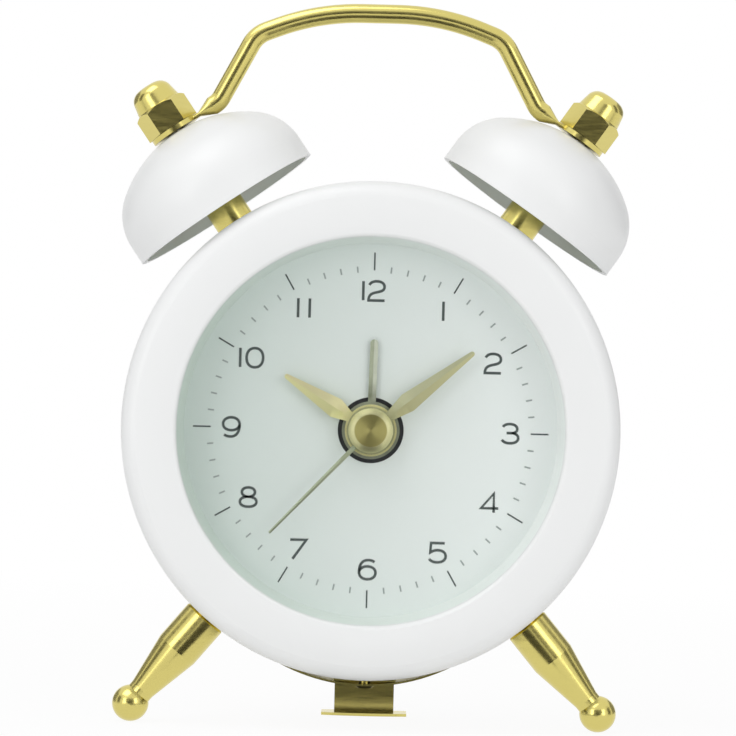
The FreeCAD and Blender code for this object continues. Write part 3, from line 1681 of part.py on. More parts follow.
def make_rear_foot():
    """A bent sheet: an arm under the case, an upright at its back and a foot on the floor."""
    body = new_body("rear_foot_bent")
    side = new_sketch(body, "YZ_Plane", "Side", "0 - arm_half_width")
    front = "leg_level + strap_half_width - hole_fit"
    inner_bend = "bend_radius - arm_thick"
    outline(
        side,
        [
            ("0 - arm_top", front),
            ("0 - arm_top", "bend_radius - foot_back"),
            ("0 - arm_top - bend_radius", "0 - foot_back"),
            ("0 - axis_height", "0 - foot_back"),
            ("0 - axis_height", "arm_thick - foot_back"),
            ("0 - arm_top - bend_radius", "arm_thick - foot_back"),
            ("0 - arm_bottom", "bend_radius - foot_back"),
            ("0 - arm_bottom", front),
        ],
        {1: ("bend_radius", -1), 5: (inner_bend, 1)},
    )
    pad(body, side, "arm_half_width * 2", "SidePad")
    foot = new_sketch(body, "XZ_Plane", "Foot", "axis_height - arm_thick")
    toe = "foot_depth - foot_back"
    chord = "(foot_half_width ^ 2 + foot_bulge ^ 2) / (2 * foot_bulge)"
    outline(
        foot,
        [
            ("0 - foot_half_width", "0 - foot_back"),
            ("foot_half_width", "0 - foot_back"),
            ("foot_half_width", toe),
            ("0 - foot_half_width", toe),
        ],
        {2: (chord, 1)},
    )
    pad(body, foot, "arm_thick", "FootPad")
    place(body)
    drilled("rear_foot", body, [(180, "leg_level", "rivet_radius + hole_fit")])


def make_rivet():
    body = new_body("strap_rivet")
    top = "arm_top + hole_fit"
    head = "strap_bottom + strap_thick + hole_fit"
    revolve(
        body,
        [
            ("0", top),
            ("rivet_radius", top),
            ("rivet_radius", head),
            ("rivet_head", head),
            ("rivet_top", f"{head} + rivet_head_thick"),
            ("0", f"{head} + rivet_head_thick"),
        ],
    )
    place_radial(body, 180, "leg_level")


NODES = (
    "case_shell",
    "front_lens",
    "reveal_ring",
    "dial_plate",
    "movement_front_plate",
    "movement_middle_plate",
    "movement_back_plate",
    "movement_screws",
    "rotor",
    "fifth_wheel",
    "second_wheel",
    "third_wheel",
    "centre_wheel",
    "minute_pipe",
    "motion_wheel",
    "hour_wheel",
    "alarm_wheel",
    "time_set_shaft",
    "alarm_set_shaft",
    "stator",
    "coil_core",
    "coil",
    "circuit_board",
    "control_chip",
    "quartz_crystal",
    "buzzer",
    "hour_hand",
    "minute_hand",
    "second_hand",
    "alarm_hand",
    "hand_cap",
    "back_cover",
    "cover_screws",
    "battery_door",
    "battery",
    "battery_contacts",
    "switch_body",
    "alarm_switch",
    "time_set_knob",
    "alarm_set_knob",
    "bell_left",
    "bell_right",
    "bell_post_left",
    "bell_post_right",
    "bell_stud_left",
    "bell_stud_right",
    "acorn_nut_left",
    "acorn_nut_right",
    "inner_nuts",
    "handle",
    "leg_left",
    "leg_right",
    "leg_strap",
    "rear_foot",
    "strap_rivet",
)


def make_all():
    fill_sheet()
    make_case_shell()
    make_glass_and_dial()
    make_front_plate()
    make_bridge()
    make_back_plate()
    make_movement_screws()
    make_going_train()
    make_motion_work()
    make_alarm_work()
    make_motor()
    make_board()
    make_buzzer()
    make_hands()
    make_back_cover()
    make_cover_screws()
    make_battery_door()
    make_battery()
    make_switch()
    make_knob("time_set_knob", "set_x", "set_y")
    make_knob("alarm_set_knob", "0 - set_x", "set_y")
    for word, side in (("left", -1), ("right", 1)):
        make_bell(f"bell_{word}", side)
        make_bell_post(f"bell_post_{word}", side)
        make_bell_stud(f"bell_stud_{word}", side)
        make_acorn_nut(f"acorn_nut_{word}", side)
        make_leg(f"leg_{word}", side)
    make_inner_nuts()
    make_handle()
    make_strap()
    make_rear_foot()
    make_rivet()


def check_and_write():
    document.recompute()
    for item in document.Objects:
        if "Invalid" in item.State or "Error" in item.State:
            raise ValueError(f"{item.Label} did not compute")
    found = {item.Label: item for item in document.Objects}
    os.makedirs("parts", exist_ok=True)
    for name in NODES:
        shape = found[name].Shape
        if shape.isNull() or not shape.isValid():
            raise ValueError(f"{name} has no valid shape")
    for name in NODES:
        found[name].Shape.exportStep(os.path.join("parts", name + ".step"))


make_all()
check_and_write()
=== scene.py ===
import json
import math

import bmesh
import bpy
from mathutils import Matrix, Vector


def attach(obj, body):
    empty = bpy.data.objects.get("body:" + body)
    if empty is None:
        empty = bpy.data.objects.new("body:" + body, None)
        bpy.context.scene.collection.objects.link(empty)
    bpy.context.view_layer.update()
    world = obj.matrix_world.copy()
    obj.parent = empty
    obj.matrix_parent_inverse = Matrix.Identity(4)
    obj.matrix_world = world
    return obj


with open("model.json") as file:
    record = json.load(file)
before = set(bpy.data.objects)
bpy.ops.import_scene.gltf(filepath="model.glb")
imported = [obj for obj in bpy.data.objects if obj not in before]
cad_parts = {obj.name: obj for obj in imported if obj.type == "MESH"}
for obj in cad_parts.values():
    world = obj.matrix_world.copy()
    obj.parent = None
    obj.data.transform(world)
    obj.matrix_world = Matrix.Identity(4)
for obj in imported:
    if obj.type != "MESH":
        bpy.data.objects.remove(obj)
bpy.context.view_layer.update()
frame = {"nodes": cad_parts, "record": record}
nodes = frame["nodes"]

# The dial's own axes: x to the right, y up, z towards the viewer. Lengths are in millimetres, up to
# the light and ground at the end, which are in metres.
MM = 0.001
AXIS_HEIGHT = 36.161
DIAL_Y = -7.75

# The camera looks straight ahead from a little above the hands' axis, turned slightly about its own
# line of sight. The dial's centre falls on DIAL_PIXEL, counted from the middle of the frame.
CAMERA_DISTANCE = 450
CAMERA_NEAR = 5
CAMERA_FAR = 20000
FRAME_PIXELS = 736
FOCAL_PIXELS = 3649
SENSOR = 36
DIAL_PIXEL = (2.7, -62.3)
ROLL = math.radians(1.4)


def dial_point(x, y, z):
    return Vector((x, DIAL_Y - z, AXIS_HEIGHT + y)) * MM


def make_camera():
    data = bpy.data.cameras.new("camera")
    data.sensor_width = SENSOR
    data.lens = FOCAL_PIXELS / FRAME_PIXELS * SENSOR
    data.clip_start = CAMERA_NEAR * MM
    data.clip_end = CAMERA_FAR * MM
    camera = bpy.data.objects.new("camera", data)
    bpy.context.scene.collection.objects.link(camera)
    right, up = DIAL_PIXEL
    reach = (CAMERA_DISTANCE + DIAL_Y) / FOCAL_PIXELS
    across = (right * math.cos(ROLL) - up * math.sin(ROLL)) * reach
    above = (right * math.sin(ROLL) + up * math.cos(ROLL)) * reach
    camera.location = Vector((-across, -CAMERA_DISTANCE, AXIS_HEIGHT - above)) * MM
    camera.rotation_euler = (math.radians(90), -ROLL, 0)
    bpy.context.scene.camera = camera


# Materials

# Where the hands' axis meets the dial.
HUB = dial_point(0, 0, 0)

# Each bell's middle: how far it lies from the hands' axis, at which angle from upright, and how far
# behind the dial.
BELL_REACH = 36
BELL_ANGLE = math.radians(34.6)
BELL_BEHIND = 5.9
BELL_EDGE = 0.1

# The hands are flat at their hubs and folded from there on, with painted light and shade on each
# half of the fold, and the hubs are duller than the blades.
FOLD_START = 3.6
FOLD_FULL = 5.2
FOLD_EDGE = 0.06
FOLD_SLOPE = 250
SATIN_START = 4.2
SATIN_END = 6.5
HUB_DULLING = 1.8
HAND_ROUGHNESS = 0.34

# The radius at which the hand cap's flat disc gives way to its rim, which carries a painted sheen.
CAP_DISC = 1.95
CAP_EDGE = 0.06
CAP_RINGS = 1500

# How far to either side of the hands' axis the painted shade on the dial and its reveal runs from
# its dark tone to its light one.
DIAL_REACH = 20
ENAMEL_ROUGHNESS = 0.42


class Graph:
    """A material's node tree, with short calls for the nodes that the finishes below share."""

    def __init__(self, name):
        self.material = bpy.data.materials.new(name)
        self.material.use_nodes = True
        self.tree = self.material.node_tree
        self.shader = self.tree.nodes["Principled BSDF"]
        self.source = self.add("ShaderNodeTexCoord")
        self.coordinates = self.source.outputs["Object"]

    def add(self, kind, **values):
        node = self.tree.nodes.new(kind)
        for key, value in values.items():
            setattr(node, key, value)
        return node

    def link(self, output, socket):
        self.tree.links.new(output, socket)

    def set(self, **values):
        for key, value in values.items():
            self.shader.inputs[key.replace("_", " ")].default_value = value

    def colour(self, output):
        self.link(output, self.shader.inputs["Base Color"])

    def noise(self, scale, detail=3, roughness=0.5, vector=None):
        node = self.add("ShaderNodeTexNoise")
        node.inputs["Scale"].default_value = scale
        node.inputs["Detail"].default_value = detail
        node.inputs["Roughness"].default_value = roughness
        self.link(vector or self.coordinates, node.inputs["Vector"])
        return node.outputs["Fac"]

    def stretched(self, scale):
        mapping = self.add("ShaderNodeMapping")
        mapping.inputs["Scale"].default_value = scale
        self.link(self.coordinates, mapping.inputs["Vector"])
        return mapping.outputs["Vector"]

    def offset(self, point):
        """Each place on the surface, counted from a point."""
        node = self.add("ShaderNodeVectorMath", operation="SUBTRACT")
        self.link(self.coordinates, node.inputs[0])
        node.inputs[1].default_value = point
        return node.outputs["Vector"]

    def radius(self):
        """Distance from the hands' axis."""
        flat = self.add("ShaderNodeVectorMath", operation="MULTIPLY")
        self.link(self.offset(HUB), flat.inputs[0])
        flat.inputs[1].default_value = (1, 0, 1)
        length = self.add("ShaderNodeVectorMath", operation="LENGTH")
        self.link(flat.outputs["Vector"], length.inputs[0])
        return length.outputs["Value"]

    def along(self, direction):
        """How far a place lies from the hands' axis along a direction."""
        reach = self.add("ShaderNodeVectorMath", operation="DOT_PRODUCT")
        self.link(self.offset(HUB), reach.inputs[0])
        reach.inputs[1].default_value = direction
        return reach.outputs["Value"]

    def times(self, first, second):
        node = self.add("ShaderNodeMath", operation="MULTIPLY")
        self.link(first, node.inputs[0])
        self.link(second, node.inputs[1])
        return node.outputs["Value"]

    def spread(self, value, low, high, start=0.3, end=0.7):
        node = self.add("ShaderNodeMapRange")
        node.inputs["From Min"].default_value = start
        node.inputs["From Max"].default_value = end
        node.inputs["To Min"].default_value = low
        node.inputs["To Max"].default_value = high
        self.link(value, node.inputs["Value"])
        return node.outputs["Result"]

    def blend(self, factor, first, second):
        node = self.add("ShaderNodeMix", data_type="RGBA")
        node.inputs[6].default_value = (*first, 1)
        node.inputs[7].default_value = (*second, 1)
        self.link(factor, node.inputs[0])
        return node.outputs[2]

    def bump(self, height, strength, distance):
        node = self.add("ShaderNodeBump")
        node.inputs["Strength"].default_value = strength
        node.inputs["Distance"].default_value = distance * MM
        self.link(height, node.inputs["Height"])
        self.link(node.outputs["Normal"], self.shader.inputs["Normal"])

    def vary(self, socket, value, low, high):
        self.link(self.spread(value, low, high), self.shader.inputs[socket])


def shade(colour, factor):
    return tuple(min(1.0, channel * factor) for channel in colour)


def enamel(g, tone):
    """Sprayed satin enamel in a tone: a faint orange peel under a thin clear coat."""
    g.colour(tone)
    g.vary("Roughness", g.noise(450, 4), ENAMEL_ROUGHNESS * 0.85, ENAMEL_ROUGHNESS * 1.2)
    g.bump(g.noise(1500, 2), 0.12, 0.006)
    g.set(Coat_Weight=0.1, Coat_Roughness=0.12, IOR=1.5)
    return g.material


def painted(name, colour):
    """The case's enamel, with a slight drift of tone."""
    g = Graph(name)
    return enamel(g, g.blend(g.noise(60), shade(colour, 0.985), shade(colour, 1.01)))


def bell_paint(name, side, colour, painted_light_tone):
    """The case's enamel, with painted light on the surfaces that face the bell's middle: a paler
    tone that brightens the bell's shaded inside.
    """
    g = Graph(name)
    across = side * BELL_REACH * math.sin(BELL_ANGLE)
    middle = dial_point(across, BELL_REACH * math.cos(BELL_ANGLE), -BELL_BEHIND)
    facing = g.add("ShaderNodeVectorMath", operation="DOT_PRODUCT")
    g.link(g.offset(middle), facing.inputs[0])
    g.link(g.source.outputs["Normal"], facing.inputs[1])
    outer = g.spread(facing.outputs["Value"], 0, 1, -BELL_EDGE * MM, BELL_EDGE * MM)
    # Painted light: the surfaces that face the bell's middle take the paler tone.
    return enamel(g, g.blend(outer, painted_light_tone, colour))


def moulded(name, colour, roughness, grain=1800, depth=0.012):
    """Moulded plastic with a fine spark-eroded grain."""
    g = Graph(name)
    g.colour(g.blend(g.noise(140), shade(colour, 0.95), shade(colour, 1.04)))
    g.vary("Roughness", g.noise(700), roughness * 0.85, roughness * 1.15)
    g.bump(g.noise(grain, 4, 0.6), 0.35, depth)
    g.set(IOR=1.46)
    return g.material


def metal(name, colour, roughness, stretch=(300, 300, 2600)):
    """Plated or brushed metal: drawn lines along one way, and patches where the plating thins."""
    g = Graph(name)
    g.colour(g.blend(g.noise(90, 4), shade(colour, 0.93), shade(colour, 1.07)))
    lines = g.noise(1, 4, 0.65, g.stretched(stretch))
    g.vary("Roughness", lines, roughness * 0.75, roughness * 1.3)
    g.bump(lines, 0.3, 0.0015)
    g.set(Metallic=1.0)
    return g.material


def turned(name, colour, painted_sheen_colour, roughness):
    """Metal faced on a lathe: fine rings about the hands' axis, and a paler rim that is a painted
    sheen.
    """
    g = Graph(name)
    radius = g.radius()
    combined = g.add("ShaderNodeCombineXYZ")
    g.link(radius, combined.inputs["X"])
    lines = g.noise(CAP_RINGS, 1, 0.5, combined.outputs["Vector"])
    rim, edge = CAP_DISC * MM, CAP_EDGE * MM
    # Painted sheen: the rim beyond the flat disc is painted paler than the disc.
    outside = g.spread(radius, 0, 1, rim - edge, rim + edge)
    g.colour(g.blend(outside, colour, painted_sheen_colour))
    g.vary("Roughness", lines, roughness * 0.8, roughness * 1.2)
    g.bump(g.noise(9000, 2), 0.03, 0.002)
    tangent = g.add("ShaderNodeTangent", direction_type="RADIAL", axis="Y")
    g.link(tangent.outputs["Tangent"], g.shader.inputs["Tangent"])
    g.set(Metallic=1.0, Anisotropic=0.9, Anisotropic_Rotation=0.25)
    return g.material


def ridged(name, left, right, angle):
    """A hand folded along its middle beyond its hub: the light and shade on each half are painted
    into its colour, and a bump tilts each half.
    """
    g = Graph(name)
    turn = math.radians(angle)
    folded = g.spread(g.radius(), 0, 1, FOLD_START * MM, FOLD_FULL * MM)
    across = g.times(g.along((math.cos(turn), 0, -math.sin(turn))), folded)
    # Painted light and shade: each half of the fold takes its own tone of the same brass.
    g.colour(g.blend(g.spread(across, 0, 1, -FOLD_EDGE * MM, FOLD_EDGE * MM), left, right))
    fold = g.add("ShaderNodeMath", operation="ABSOLUTE")
    g.link(across, fold.inputs[0])
    low = g.add("ShaderNodeMath", operation="MULTIPLY")
    g.link(fold.outputs["Value"], low.inputs[0])
    low.inputs[1].default_value = -FOLD_SLOPE
    g.bump(low.outputs["Value"], 1.0, 1)
    dull = HUB_DULLING * HAND_ROUGHNESS
    satin = g.spread(g.radius(), dull, HAND_ROUGHNESS, SATIN_START * MM, SATIN_END * MM)
    grain = g.spread(g.noise(1200, 3), 0.85, 1.2)
    g.link(g.times(satin, grain), g.shader.inputs["Roughness"])
    g.set(Metallic=1.0)
    return g.material


def printed_card(name, dark, light, shade_direction):
    """Matte coated card with a faint satin tooth, and painted shade: darker along a direction,
    towards the side that lies in shade.
    """
    g = Graph(name)
    # Painted shade: the dark tone stands for the side in shade, the light tone for the lit side.
    g.colour(g.blend(g.spread(g.along(shade_direction), 0, 1, -DIAL_REACH * MM, DIAL_REACH * MM), dark, light))
    g.vary("Roughness", g.noise(900), 0.5, 0.62)
    g.bump(g.noise(3500, 3), 0.2, 0.003)
    g.set(IOR=1.4)
    return g.material


def clear_acrylic(name):
    """Clear glazing with a barely uneven polish."""
    g = Graph(name)
    g.vary("Roughness", g.noise(80), 0.0, 0.03)
    g.set(Base_Color=(0.97, 0.98, 0.98, 1), Transmission_Weight=1.0, IOR=1.49, Alpha=0.1)
    return g.material


def wound_wire(name, colour):
    """Enamelled wire laid in close turns across the bobbin, with painted shade in the grooves
    between turns.
    """
    g = Graph(name)
    wave = g.add("ShaderNodeTexWave", wave_type="BANDS", bands_direction="X", wave_profile="SIN")
    wave.inputs["Scale"].default_value = 1600
    wave.inputs["Distortion"].default_value = 0.6
    g.link(g.coordinates, wave.inputs["Vector"])
    # Painted shade: the grooves between turns are painted darker.
    g.colour(g.blend(wave.outputs["Fac"], shade(colour, 0.55), colour))
    g.bump(wave.outputs["Fac"], 0.8, 0.03)
    g.set(Metallic=0.8, Roughness=0.35)
    return g.material


def circuit(name, colour, trace):
    """Green mask over copper: broad, slightly lighter tracks."""
    g = Graph(name)
    cells = g.add("ShaderNodeTexVoronoi", feature="DISTANCE_TO_EDGE")
    cells.inputs["Scale"].default_value = 420
    g.link(g.coordinates, cells.inputs["Vector"])
    tracks = g.spread(cells.outputs["Distance"], 1, 0, 0.03, 0.06)
    g.colour(g.blend(tracks, colour, trace))
    g.bump(tracks, 0.4, 0.02)
    g.set(Roughness=0.35, IOR=1.5)
    return g.material


WHITE = (0.86, 0.868, 0.868)
# The paler tone painted inside the bells, as painted light on their shaded insides.
BELL_INSIDE_PAINTED_LIGHT = (0.92, 0.96, 0.93)
GOLD = (0.68, 0.59, 0.19)
STEEL = (0.6, 0.6, 0.61)
CAN_STEEL = (0.7, 0.7, 0.71)

# The finishes by material slot. The hands and their cap have finishes of their own below.
finishes = {
    "white_paint": painted("white_enamel", WHITE),
    "polished_gold": metal("polished_gold_plate", GOLD, 0.2),
    # The dial's painted shade: darker towards the left, where the bezel's lip shades it.
    "dial_print": printed_card("dial_card", (0.65, 0.73, 0.69), (0.86, 0.91, 0.89), (1, 0, -0.05)),
    "lens_acrylic": clear_acrylic("clear_acrylic"),
    "white_plastic": moulded("white_moulding", (0.82, 0.83, 0.82), 0.38),
    "black_plastic": moulded("black_moulding", (0.022, 0.022, 0.025), 0.42),
    "movement_plastic": moulded("movement_moulding", (0.04, 0.042, 0.046), 0.5),
    "gear_nylon": moulded("gear_nylon", (0.78, 0.75, 0.66), 0.34, 2600, 0.006),
    "steel": metal("brushed_steel", STEEL, 0.26),
    "copper_wire": wound_wire("enamelled_wire", (0.72, 0.3, 0.12)),
    "board_green": circuit("circuit_mask", (0.02, 0.12, 0.05), (0.05, 0.22, 0.08)),
    "battery_steel": metal("battery_can", CAN_STEEL, 0.3, (900, 900, 900)),
    "magnet_dark": moulded("bonded_magnet", (0.05, 0.048, 0.046), 0.55, 1200, 0.02),
}

# The painted light and shade of each hand: the tones to the left and right of its fold, and where
# the hand points, in degrees clockwise from twelve.
HAND_PAINTED_SHADING = {
    "hour_hand": ((0.8, 0.79, 0.41), (0.8, 0.76, 0.44), 301.5),
    "minute_hand": ((0.56, 0.57, 0.36), (0.56, 0.55, 0.31), 51.6),
    "alarm_hand": ((0.3, 0.33, 0.24), (0.42, 0.45, 0.36), 1.0),
    "second_hand": ((0.5, 0.55, 0.38), (0.42, 0.47, 0.33), 223.5),
}

# Pieces whose own shape or place gives them a finish of their own; most carry painted light or
# shade.
own_finishes = {
    "hand_cap": turned("turned_gold", (0.44, 0.4, 0.15), (0.72, 0.7, 0.38), 0.42),
    "bell_left": bell_paint("bell_left_enamel", -1, WHITE, BELL_INSIDE_PAINTED_LIGHT),
    "bell_right": bell_paint("bell_right_enamel", 1, WHITE, BELL_INSIDE_PAINTED_LIGHT),
    # The reveal's painted shade: darker towards the left, where its wall lies in shade.
    "reveal_ring": printed_card(
        "reveal_moulding", (0.67, 0.76, 0.7), (0.93, 0.97, 0.95), (1, 0, 0.1)
    ),
    **{name: ridged(f"{name}_gold", *tones) for name, tones in HAND_PAINTED_SHADING.items()},
}
ink = moulded("dial_ink", (0.07, 0.09, 0.085), 0.5, 3000, 0.002)
pale_ink = moulded("dial_pale_ink", (0.33, 0.38, 0.36), 0.5, 3000, 0.002)


def dress_frame():
    for part in frame["record"]["subparts"]:
        name = part["node"]
        finish = own_finishes[name] if name in own_finishes else finishes[part["material_slot"]]
        nodes[name].data.materials.clear()
        nodes[name].data.materials.append(finish)


# Printed marks on the dial

PRINT_LOW = -0.01
PRINT_HIGH = 0.012
DIGIT_HEIGHT = 2.33
DIGIT_STROKE = 0.33
NUMBER_RADIUS = 16.9
HOURS = 12
MINUTES = 60

# Inner radius, outer radius and width of a tick.
HOUR_TICK = (19.4, 21.55, 0.19)
MINUTE_TICK = (19.15, 19.9, 0.2)

# Each digit is one or more strokes on a unit-high grid. A stroke is a start point and then straight
# ends (one point) or curves (two handles and an end). A nine is a six turned half way round.
DIGITS = {
    "0": [[(0.43, 1), [(0.7, 1), (0.86, 0.8), (0.86, 0.5)], [(0.86, 0.2), (0.7, 0), (0.43, 0)],
           [(0.16, 0), (0, 0.2), (0, 0.5)], [(0, 0.8), (0.16, 1), (0.43, 1)]]],
    "1": [[(0, 1), [(0, 0)]]],
    "2": [[(0.03, 0.8), [(0.1, 0.95), (0.25, 1), (0.42, 1)],
           [(0.68, 1), (0.82, 0.88), (0.82, 0.72)], [(0.82, 0.5), (0.62, 0.48), (0.38, 0.42)],
           [(0.12, 0.36), (0, 0.26), (0, 0)], [(0.84, 0)]]],
    "3": [[(0.05, 0.84), [(0.12, 0.96), (0.25, 1), (0.42, 1)],
           [(0.66, 1), (0.79, 0.88), (0.79, 0.75)], [(0.79, 0.6), (0.66, 0.53), (0.5, 0.53)],
           [(0.24, 0.53)]],
          [(0.5, 0.53), [(0.72, 0.53), (0.85, 0.42), (0.85, 0.27)],
           [(0.85, 0.1), (0.68, 0), (0.42, 0)], [(0.22, 0), (0.08, 0.06), (0, 0.18)]]],
    "4": [[(0.66, 0), [(0.66, 1)], [(0, 0.22)], [(0.9, 0.22)]]],
    "5": [[(0.8, 1), [(0.09, 1)], [(0.05, 0.5)], [(0.18, 0.6), (0.32, 0.63), (0.45, 0.63)],
           [(0.7, 0.63), (0.86, 0.5), (0.86, 0.32)], [(0.86, 0.12), (0.68, 0), (0.42, 0)],
           [(0.22, 0), (0.08, 0.06), (0, 0.17)]]],
    "6": [[(0.8, 0.9), [(0.68, 0.98), (0.58, 1), (0.46, 1)], [(0.15, 1), (0, 0.75), (0, 0.38)],
           [(0, 0.13), (0.2, 0), (0.43, 0)], [(0.68, 0), (0.86, 0.14), (0.86, 0.34)],
           [(0.86, 0.54), (0.68, 0.67), (0.43, 0.67)], [(0.2, 0.67), (0.03, 0.56), (0, 0.38)]]],
    "7": [[(0, 1), [(0.84, 1)], [(0.14, 0)]]],
    "8": [[(0.43, 1), [(0.64, 1), (0.77, 0.9), (0.77, 0.76)],
           [(0.77, 0.62), (0.64, 0.52), (0.43, 0.52)], [(0.22, 0.52), (0.09, 0.62), (0.09, 0.76)],
           [(0.09, 0.9), (0.22, 1), (0.43, 1)]],
          [(0.43, 0.52), [(0.7, 0.52), (0.86, 0.41), (0.86, 0.26)],
           [(0.86, 0.1), (0.7, 0), (0.43, 0)], [(0.16, 0), (0, 0.1), (0, 0.26)],
           [(0, 0.41), (0.16, 0.52), (0.43, 0.52)]]],
}
DIGIT_WIDTH = 0.86
CURVE_STEPS = 10

# How far the second digit starts to the right of the first.
PAIR_STEPS = {"10": 0.33, "11": 0.6, "12": 0.28}


def stroke_points(stroke):
    """A stroke's points on the unit grid, with each curve divided evenly."""
    points = [Vector(stroke[0])]
    for part in stroke[1:]:
        if len(part) == 1:
            points.append(Vector(part[0]))
            continue
        start = points[-1]
        first, second, end = (Vector(p) for p in part)
        for step in range(1, CURVE_STEPS + 1):
            t = step / CURVE_STEPS
            s = 1 - t
            curve = start * s**3 + first * (3 * s * s * t)
            points.append(curve + second * (3 * s * t * t) + end * t**3)
    return points


def add_ribbon(mesh, points, width):
    """A closed thin band of ink along points on the dial, with mitred corners."""
    closed = (points[0] - points[-1]).length < width * 0.05
    if closed:
        points = points[:-1]
    rows = []
    for i, point in enumerate(points):
        before = points[i - 1] if i or closed else None
        after = points[(i + 1) % len(points)] if i + 1 < len(points) or closed else None
        incoming = (point - before if before is not None else after - point).normalized()
        outgoing = (after - point).normalized() if after is not None else incoming
        along = (incoming + outgoing).normalized()
        across = Vector((-along.y, along.x)) * (width / 2 / max(0.5, along.dot(incoming)))
        sides = (point + across, point - across)
        corners = [dial_point(p.x, p.y, z) for z in (PRINT_LOW, PRINT_HIGH) for p in sides]
        rows.append([mesh.verts.new(corner) for corner in corners])
    pairs = list(zip(rows, rows[1:]))
    if closed:
        pairs.append((rows[-1], rows[0]))
    for first, second in pairs:
        for a, b in ((2, 3), (3, 1), (1, 0), (0, 2)):
            mesh.faces.new((first[a], first[b], second[b], second[a]))
    if not closed:
        for row in (rows[0], rows[-1]):
            mesh.faces.new((row[0], row[1], row[3], row[2]))


def add_object(mesh, name, material):
    data = bpy.data.meshes.new(name)
    mesh.to_mesh(data)
    mesh.free()
    data.materials.append(material)
    made = bpy.data.objects.new(name, data)
    bpy.context.scene.collection.objects.link(made)
    return made


def finish_piece(mesh, name, material, body="root"):
    bmesh.ops.recalc_face_normals(mesh, faces=mesh.faces)
    piece = add_object(mesh, name, material)
    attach(piece, body)


def number_strokes(text):
    """A number's strokes in millimetres, centred on the number."""
    strokes = []
    offset = 0
    for letter in text:
        for stroke in DIGITS["6" if letter == "9" else letter]:
            points = stroke_points(stroke)
            if letter == "9":
                points = [Vector((DIGIT_WIDTH - p.x, 1 - p.y)) for p in points]
            strokes.append([p + Vector((offset, 0)) for p in points])
        offset += PAIR_STEPS.get(text, 0)
    low = min(p.x for s in strokes for p in s)
    high = max(p.x for s in strokes for p in s)
    middle = Vector(((low + high) / 2, 0.5))
    return [[(p - middle) * DIGIT_HEIGHT for p in s] for s in strokes]


def dial_direction(step, steps):
    angle = math.radians(360 / steps * step)
    return Vector((math.sin(angle), math.cos(angle)))


def make_dial_print():
    numbers = bmesh.new()
    for hour in range(1, HOURS + 1):
        centre = dial_direction(hour, HOURS) * NUMBER_RADIUS
        for points in number_strokes(str(hour)):
            add_ribbon(numbers, [p + centre for p in points], DIGIT_STROKE)
    finish_piece(numbers, "dial_numbers", ink)
    for name, material, (inner, outer, width), on_the_hour in (
        ("dial_hour_ticks", ink, HOUR_TICK, True),
        ("dial_minute_ticks", pale_ink, MINUTE_TICK, False),
    ):
        ticks = bmesh.new()
        for minute in range(MINUTES):
            if (minute % (MINUTES // HOURS) == 0) == on_the_hour:
                along = dial_direction(minute, MINUTES)
                add_ribbon(ticks, [along * inner, along * outer], width)
        finish_piece(ticks, name, material)


# Light and ground, in metres

AIM = (0, 0, 0.04)
AMBIENT = 0.57
FLOOR_TONE = 0.9
FLOOR_SIZE = 4
SHADOW_SHARE = 0.07
SHADOW_START = 0.03
SHADOW_END = 0.3

# Name, place, width, height and power of each light, and whether polished metal shows it.
LIGHTS = (
    ("key", (-0.25, -0.22, 0.72), 0.5, 0.5, 1.6, True),
    ("front", (0.15, -0.9, 0.03), 0.9, 0.4, 1.5, False),
    ("band_left", (-0.38, -0.52, 0.16), 0.22, 0.4, 0.5, True),
    ("band_right", (0.38, -0.52, 0.16), 0.22, 0.4, 0.5, True),
)

# Name, place, what it faces, width, height and tone of each dark card.
FLAGS = (
    ("flag_front", (0.03, -0.8, 0.05), AIM, 0.34, 0.4, 0.08),
    ("flag_front_wide", (0.0, -0.9, 0.1), AIM, 1.0, 0.9, 0.42),
    ("flag_left", (-0.5, -0.1, 0.1), AIM, 0.2, 0.5, 0.25),
    ("flag_right", (0.5, -0.1, 0.1), AIM, 0.2, 0.5, 0.25),
    ("flag_back_left", (-0.5, 0.35, 0.1), AIM, 0.5, 0.6, 0.4),
    ("flag_back_right", (0.5, 0.35, 0.1), AIM, 0.5, 0.6, 0.4),
    ("flag_floor", (0, -0.111, 0.0004), (0, -0.111, -1), 0.05, 0.178, 0.06),
    # A dark sheet under the clock, seen only in polished metal: painted shade for the floor beneath
    # it.
    ("foot_shade_sheet", (0, -0.009, 0.0004), (0, -0.009, -1), 0.014, 0.026, 0.06),
)


def place_facing(thing, place, aim):
    thing.location = place
    thing.rotation_euler = (Vector(aim) - Vector(place)).to_track_quat("-Z", "Y").to_euler()


def add_light(name, place, width, height, power, shown):
    data = bpy.data.lights.new(name, "AREA")
    data.shape = "RECTANGLE"
    data.size = width
    data.size_y = height
    data.energy = power
    light = bpy.data.objects.new(name, data)
    bpy.context.scene.collection.objects.link(light)
    light.visible_glossy = shown
    place_facing(light, place, AIM)


def seen_directly(tree):
    """1 for camera, glossy and transmission rays, 0 for the rest."""
    path = tree.nodes.new("ShaderNodeLightPath")
    seen = path.outputs["Is Camera Ray"]
    for ray in ("Is Glossy Ray", "Is Transmission Ray"):
        either = tree.nodes.new("ShaderNodeMath")
        either.operation = "MAXIMUM"
        tree.links.new(seen, either.inputs[0])
        tree.links.new(path.outputs[ray], either.inputs[1])
        seen = either.outputs[0]
    return seen


def mix_shaders(tree, output_kind, factor, first, second):
    """The tree's output: the first shader where the factor is 0, and the second where it is 1."""
    mix = tree.nodes.new("ShaderNodeMixShader")
    output = tree.nodes.new(output_kind)
    tree.links.new(factor, mix.inputs[0])
    tree.links.new(first.outputs[0], mix.inputs[1])
    tree.links.new(second.outputs[0], mix.inputs[2])
    tree.links.new(mix.outputs[0], output.inputs[0])


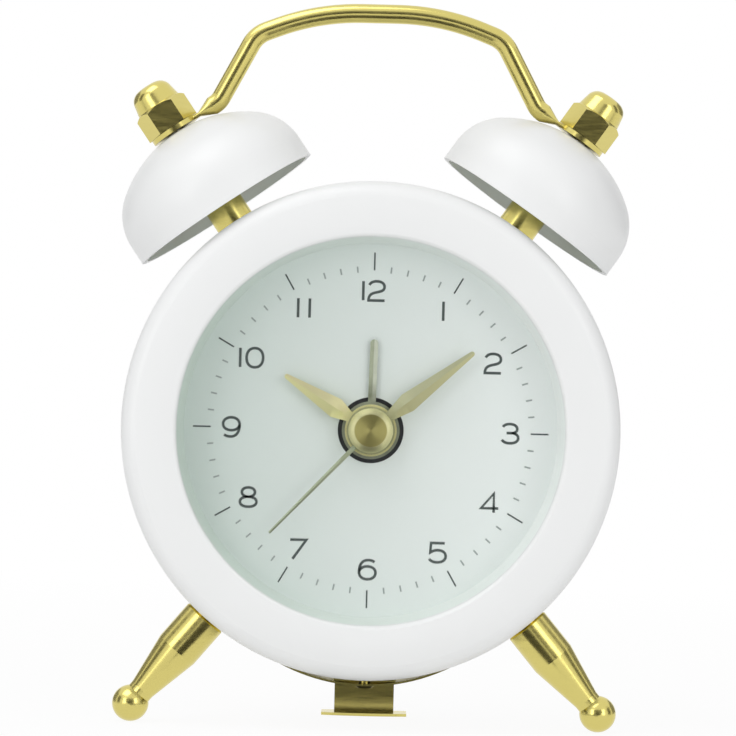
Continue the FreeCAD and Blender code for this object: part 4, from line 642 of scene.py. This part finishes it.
def make_world():
    world = bpy.data.worlds.new("studio")
    bpy.context.scene.world = world
    world.use_nodes = True
    tree = world.node_tree
    tree.nodes.clear()
    soft = tree.nodes.new("ShaderNodeBackground")
    soft.inputs["Strength"].default_value = AMBIENT
    white = tree.nodes.new("ShaderNodeBackground")
    for node in (soft, white):
        node.inputs["Color"].default_value = (1, 1, 1, 1)
    mix_shaders(tree, "ShaderNodeOutputWorld", seen_directly(tree), soft, white)


def floor_material():
    """Pale and matte, and seen as white but for a faint shadow about the clock's feet."""
    material = bpy.data.materials.new("pale_floor")
    material.use_nodes = True
    tree = material.node_tree
    tree.nodes.clear()
    diffuse = tree.nodes.new("ShaderNodeBsdfDiffuse")
    diffuse.inputs["Color"].default_value = (FLOOR_TONE, FLOOR_TONE, FLOOR_TONE, 1)
    white = tree.nodes.new("ShaderNodeEmission")
    coordinates = tree.nodes.new("ShaderNodeTexCoord")
    distance = tree.nodes.new("ShaderNodeVectorMath")
    distance.operation = "LENGTH"
    fade = tree.nodes.new("ShaderNodeMapRange")
    fade.inputs["From Min"].default_value = SHADOW_START
    fade.inputs["From Max"].default_value = SHADOW_END
    fade.inputs["To Min"].default_value = 1 - SHADOW_SHARE
    fade.inputs["To Max"].default_value = 1
    factor = tree.nodes.new("ShaderNodeMath")
    factor.operation = "MULTIPLY"
    tree.links.new(coordinates.outputs["Object"], distance.inputs[0])
    tree.links.new(distance.outputs["Value"], fade.inputs["Value"])
    tree.links.new(fade.outputs["Result"], factor.inputs[0])
    tree.links.new(seen_directly(tree), factor.inputs[1])
    mix_shaders(tree, "ShaderNodeOutputMaterial", factor.outputs[0], diffuse, white)
    return material


def make_floor():
    mesh = bmesh.new()
    bmesh.ops.create_grid(mesh, x_segments=1, y_segments=1, size=FLOOR_SIZE)
    floor = add_object(mesh, "floor", floor_material())


def make_flag(name, place, aim, width, height, tone):
    """A dark card, not seen itself, which gives polished metal its dark bands."""
    material = bpy.data.materials.new(name)
    material.use_nodes = True
    shader = material.node_tree.nodes["Principled BSDF"]
    shader.inputs["Base Color"].default_value = (tone, tone, tone, 1)
    shader.inputs["Roughness"].default_value = 1
    mesh = bmesh.new()
    bmesh.ops.create_grid(mesh, x_segments=1, y_segments=1, size=0.5)
    card = add_object(mesh, name, material)
    place_facing(card, place, aim)
    card.scale = (width, height, 1)
    card.visible_camera = False
    card.visible_shadow = False
    card.visible_diffuse = False


bpy.context.scene.view_settings.view_transform = "Standard"
make_camera()
dress_frame()
make_dial_print()
make_world()
make_floor()
for light in LIGHTS:
    add_light(*light)
for flag in FLAGS:
    make_flag(*flag)
